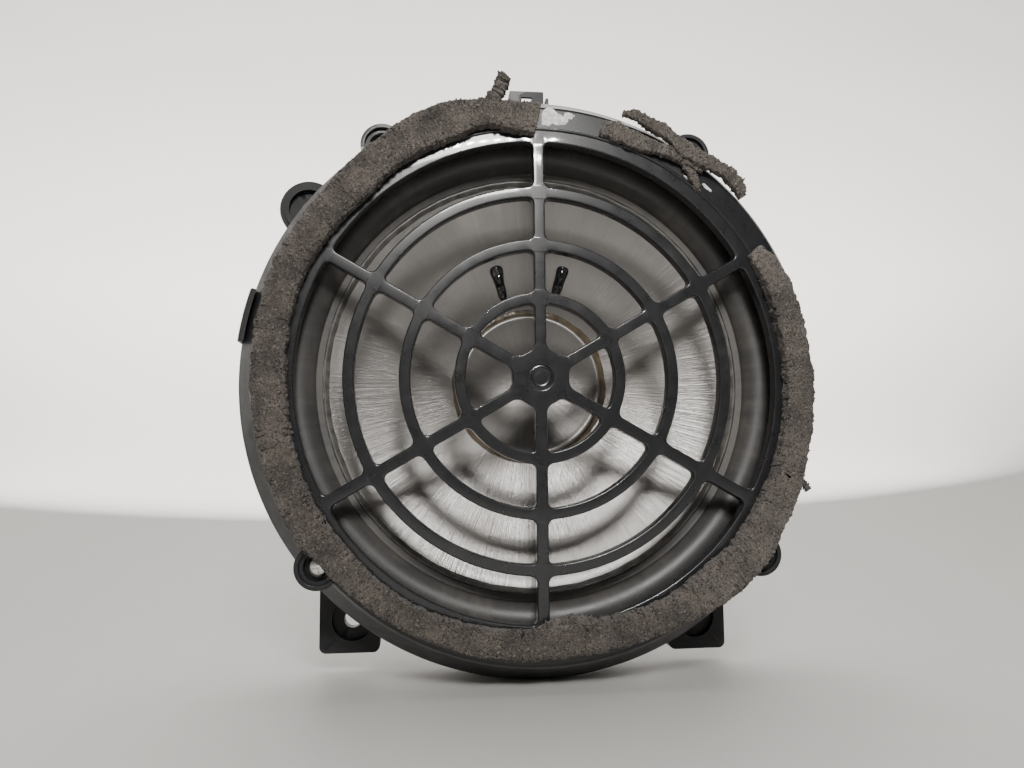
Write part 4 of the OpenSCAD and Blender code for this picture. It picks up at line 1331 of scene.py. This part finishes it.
class WOOFER_OT_housing(bpy.types.Operator):
    """Builds the basket, the connector with its blades and leads, the rim clip and the ear screws"""

    bl_idname = "woofer.housing"
    bl_label = "Basket and fixings"

    def execute(self, context):
        black = moulded_plastic("basket_plastic", tint("basket"), 0.4, 0.3, 0.35)
        fit_in(refined("basket", black), FRONT, "basket_plastic", "basket")
        fit_in(refined("side_clip", black, 0.35), FRONT, "clip_plastic", "side_clip")
        grey = moulded_plastic("socket_plastic", (0.035, 0.035, 0.038), 0.36, 0.3, 0.4)
        fit_in(refined("connector_socket", grey, 0.25), FRONT, "socket_plastic", "connector_socket")
        brass = plated_metal("contact_brass", (0.62, 0.47, 0.22), 0.3, 0.1)
        fit_in(refined("contact_blades", brass, 0.1), FRONT, "contact_brass", "contact_blades")
        tin = plated_metal("solder", (0.6, 0.6, 0.6), 0.25, 0.05, 0.1)
        fit_in(refined("solder_joints", tin), FRONT, "solder", "solder_joints")
        self.screws()
        self.leads()
        return {"FINISHED"}

    @staticmethod
    def screws():
        """Pan heads with a cross recess, stamped on the four ears by a node tree."""
        seat = SCREW_SEAT_H
        profile = [(0, seat - 20), (0.9, seat - 19.4), (1.5, seat - 18), (1.5, seat), (3.5, seat), (3.8, seat + 0.25),
                   (3.8, seat + 0.8),
                   (3.5, seat + 1.45), (2.8, seat + 2.0), (1.8, seat + 2.3), (0.8, seat + 2.4), (0, seat + 2.4)]
        points, faces = lathe(profile, 48)
        pattern = template("screw", points, faces, 40)
        for turn in (0, 90):
            bar = [(x, y, z) for x in (-2.1, 2.1) for y in (-(seat + 3), -(seat + 1.1)) for z in (-0.38, 0.38)]
            spin = Matrix.Rotation(math.radians(turn), 4, "Y")
            blade = new_piece("blade", [spin @ (Vector(p) * MM) for p in bar],
                              [(0, 1, 3, 2), (4, 6, 7, 5), (0, 4, 5, 1), (2, 3, 7, 6), (0, 2, 6, 4), (1, 5, 7, 3)],
                              None)
            carve(pattern, blade, "DIFFERENCE")
        zinc = plated_metal("screw_zinc", (0.74, 0.73, 0.70), 0.26, 0.16, 0.2)
        spots = [place(angle, EAR_R, 0) for angle in EAR_ANGLES]
        fit_in(repeated("ear_screws_finished", spots, pattern, zinc, math.pi / 2), FRONT, "screw_steel", "ear_screws")

    @staticmethod
    def leads():
        """Twisted tinsel leads that hang between the blades and the cone's back, along the part's own routes in mm."""
        routes = {
            "tinsel_lead_left": [(-12.6, -7, 42.6), (-12, -2, 49), (-10, 2.6, 57), (-7, 3.4, 66), (-4.6, 0, 74),
                                 (-3.5, -4.9, 84)],
            "tinsel_lead_right": [(12.3, -7, 42.6), (11.6, -2, 49), (9, 2.6, 57), (5.6, 3.4, 66), (2.6, 0, 74),
                                  (1.5, -4.9, 84)],
        }
        copper = twisted_copper("tinsel_braid", (0.58, 0.34, 0.17))
        tree, g, given = geometry_tree("twist", [("Strand", "Float", 0.0004), ("Lobes", "Int", 7),
                                                 ("Twist", "Float", 90.0), ("Material", "Material", None)])
        turn = g.node("GeometryNodeSplineParameter", out="Factor") * given["Twist"]
        wound = g.node("GeometryNodeSetCurveTilt", None, {"Curve": given["Geometry"], "Tilt": turn})
        lobes = g.node("GeometryNodeCurveStar", None, {"Points": given["Lobes"],
                                                       "Inner Radius": given["Strand"] * 0.78,
                                                       "Outer Radius": given["Strand"] * 1.08})
        swept = g.node("GeometryNodeCurveToMesh", None, {"Curve": wound, "Profile Curve": lobes, "Fill Caps": True})
        close_tree(g, swept, given["Material"])
        for node, route in routes.items():
            path = catmull(route, 22) * MM
            curve = bpy.data.curves.new(node, "CURVE")
            curve.dimensions = "3D"
            spline = curve.splines.new("POLY")
            spline.points.add(len(path) - 1)
            spline.points.foreach_set("co", np.concatenate([path, np.ones((len(path), 1))], 1).ravel())
            obj = linked(node + "_finished", curve)
            obj = run_tree(obj, tree, {"Strand": 0.0009, "Lobes": 7, "Twist": 70.0, "Material": copper})
            tidy_mesh(obj, 70)
            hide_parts(node)
            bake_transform(obj)


# ---------------------------------------------------------------- stage and camera


class WOOFER_OT_stage(bpy.types.Operator):
    """Sets the pale floor, the soft lights and the camera"""

    bl_idname = "woofer.stage"
    bl_label = "Floor, lights and camera"

    def execute(self, context):
        self.backdrop()
        self.lights()
        self.camera()
        return {"FINISHED"}

    @staticmethod
    def backdrop():
        """A round pale floor that rises into a wall on every side; darker on the floor than up the wall, and painted
        dark towards the front as shade for the dim room there.
        """
        floor = CAD_BOUNDS[0][2] - 0.0004
        outline = [(-1.8, floor), (0.1, floor)]
        for t in np.linspace(0, 1, 90):
            lean = math.pi / 2 * t * t * (3 - 2 * t)
            outline.append((outline[-1][0] + 0.034 * math.cos(lean), outline[-1][1] + 0.034 * math.sin(lean)))
        outline.append((outline[-1][0], outline[-1][1] + 2))
        outline = np.array(outline[1:])
        sides, count = 96, len(outline)
        turn = np.radians(np.arange(sides) * 360 / sides)
        points = [(r * math.cos(t), r * math.sin(t), z) for t in turn for r, z in outline]
        faces = [(i * count + k, i * count + k + 1, (i + 1) % sides * count + k + 1, (i + 1) % sides * count + k)
                 for i in range(sides) for k in range(count - 1)]
        faces.append(tuple(i * count for i in range(sides)))

        def build(g):
            spot = g.spot()
            _x, away, rise = g.split(spot)
            tone = g.mix(g.step(rise, floor, floor + 0.5), (0.40, 0.39, 0.378), (0.80, 0.785, 0.76))
            # Painted shade: the side towards the front, behind the camera, darkens to stand for the dim room there.
            tone = g.mix(g.step(away, -0.2, -1.4), tone, (0.12, 0.12, 0.12))
            tone = g.mix(g.speckle(spot, 6, 3) * 0.1, tone, (0.5, 0.49, 0.475))
            return {"Base Color": tone, "Roughness": 0.55 + g.speckle(spot, 40, 3) * 0.15}
        sheet = new_piece("backdrop", points, faces, finish_material("pale_floor", build), 60)

    @staticmethod
    def lights():
        """A dim room, two soft lamps behind, a small key in front and a row of point lamps above it."""
        world = bpy.data.worlds.new("soft_room")
        bpy.context.scene.world = world
        world.use_nodes = True
        world.node_tree.nodes["Background"].inputs[0].default_value = (0.96, 0.98, 1.0, 1)
        world.node_tree.nodes["Background"].inputs[1].default_value = 0.1
        lamps = [("ceiling", (0.0, 0.45, 1.2), (0, 0.25, 0), 1.2, 20, (1, 0.985, 0.96)),
                 ("wall_wash", (0.0, 0.5, 0.6), (0, 2.2, 0.7), 1.2, 62, (1, 0.985, 0.96)),
                 ("front_key", (-0.02, -0.60, 0.36), (0, 0, 0), 0.16, 4.3, (1, 0.985, 0.96))]
        lamps += [("led", (0.013 * (i - 8.5) - 0.03, -0.52, 0.27), (0, 0, 0), 0.004, 0.07,
                   (1, 0.98, 0.95)) for i in range(18)]
        for name, spot, aim, size, power, tone in lamps:
            data = bpy.data.lights.new(name, "AREA")
            data.size = size
            data.energy = power
            data.color = tone
            lamp = linked(name, data)
            lamp.location = spot
            lamp.rotation_euler = (Vector(aim) - Vector(spot)).to_track_quat("-Z", "Y").to_euler()

    @staticmethod
    def camera():
        """Nearly square to the front, a little from below and from the left."""
        tilt, swing, roll = (math.radians(a) for a in (-5.48, 5.81, 0.49))
        turn = Matrix.Rotation(tilt, 3, "X") @ Matrix.Rotation(swing, 3, "Y") @ Matrix.Rotation(roll, 3, "Z")
        offset = Vector((10.3, 2.4, -278.2)) * MM
        eye = turn.transposed() @ -offset
        # the offset has y up and z towards the viewer, from the middle of the grille's front
        to_row = Matrix(((1, 0, 0), (0, 0, -1), (0, 1, 0)))
        pose = (to_row @ turn.transposed()).to_4x4()
        pose.translation = to_row @ eye + Vector((0, -BARS_H * MM, 0))
        data = bpy.data.cameras.new("camera")
        data.sensor_width = 36
        data.lens = 27.77
        data.clip_start = 0.01
        camera = linked("camera", data)
        camera.matrix_world = pose
        bpy.context.scene.camera = camera


class WOOFER_PT_panel(bpy.types.Panel):
    """Lists the woofer's builders"""

    bl_idname = "WOOFER_PT_panel"
    bl_label = "Door woofer"
    bl_space_type = "VIEW_3D"
    bl_region_type = "UI"
    bl_category = "Woofer"

    def draw(self, context):
        for operator in OPERATORS:
            self.layout.operator(operator.bl_idname)


OPERATORS = (WOOFER_OT_stage, WOOFER_OT_grille, WOOFER_OT_foam, WOOFER_OT_cone, WOOFER_OT_motor, WOOFER_OT_housing)
CLASSES = (WooferSizes, WooferColours, *OPERATORS, WOOFER_PT_panel)


def register():
    """Adds the builders and their settings to Blender."""
    for item in CLASSES:
        bpy.utils.register_class(item)
    bpy.types.Scene.woofer_sizes = bpy.props.PointerProperty(type=WooferSizes)
    bpy.types.Scene.woofer_colours = bpy.props.PointerProperty(type=WooferColours)


def unregister():
    """Takes them out again."""
    del bpy.types.Scene.woofer_colours
    del bpy.types.Scene.woofer_sizes
    for item in reversed(CLASSES):
        bpy.utils.unregister_class(item)


def main():
    """Registers the builders and runs every one."""
    register()
    for operator in OPERATORS:
        group, name = operator.bl_idname.split(".")
        getattr(getattr(bpy.ops, group), name)()
    bpy.context.view_layer.update()


if __name__ == "__main__":
    main()
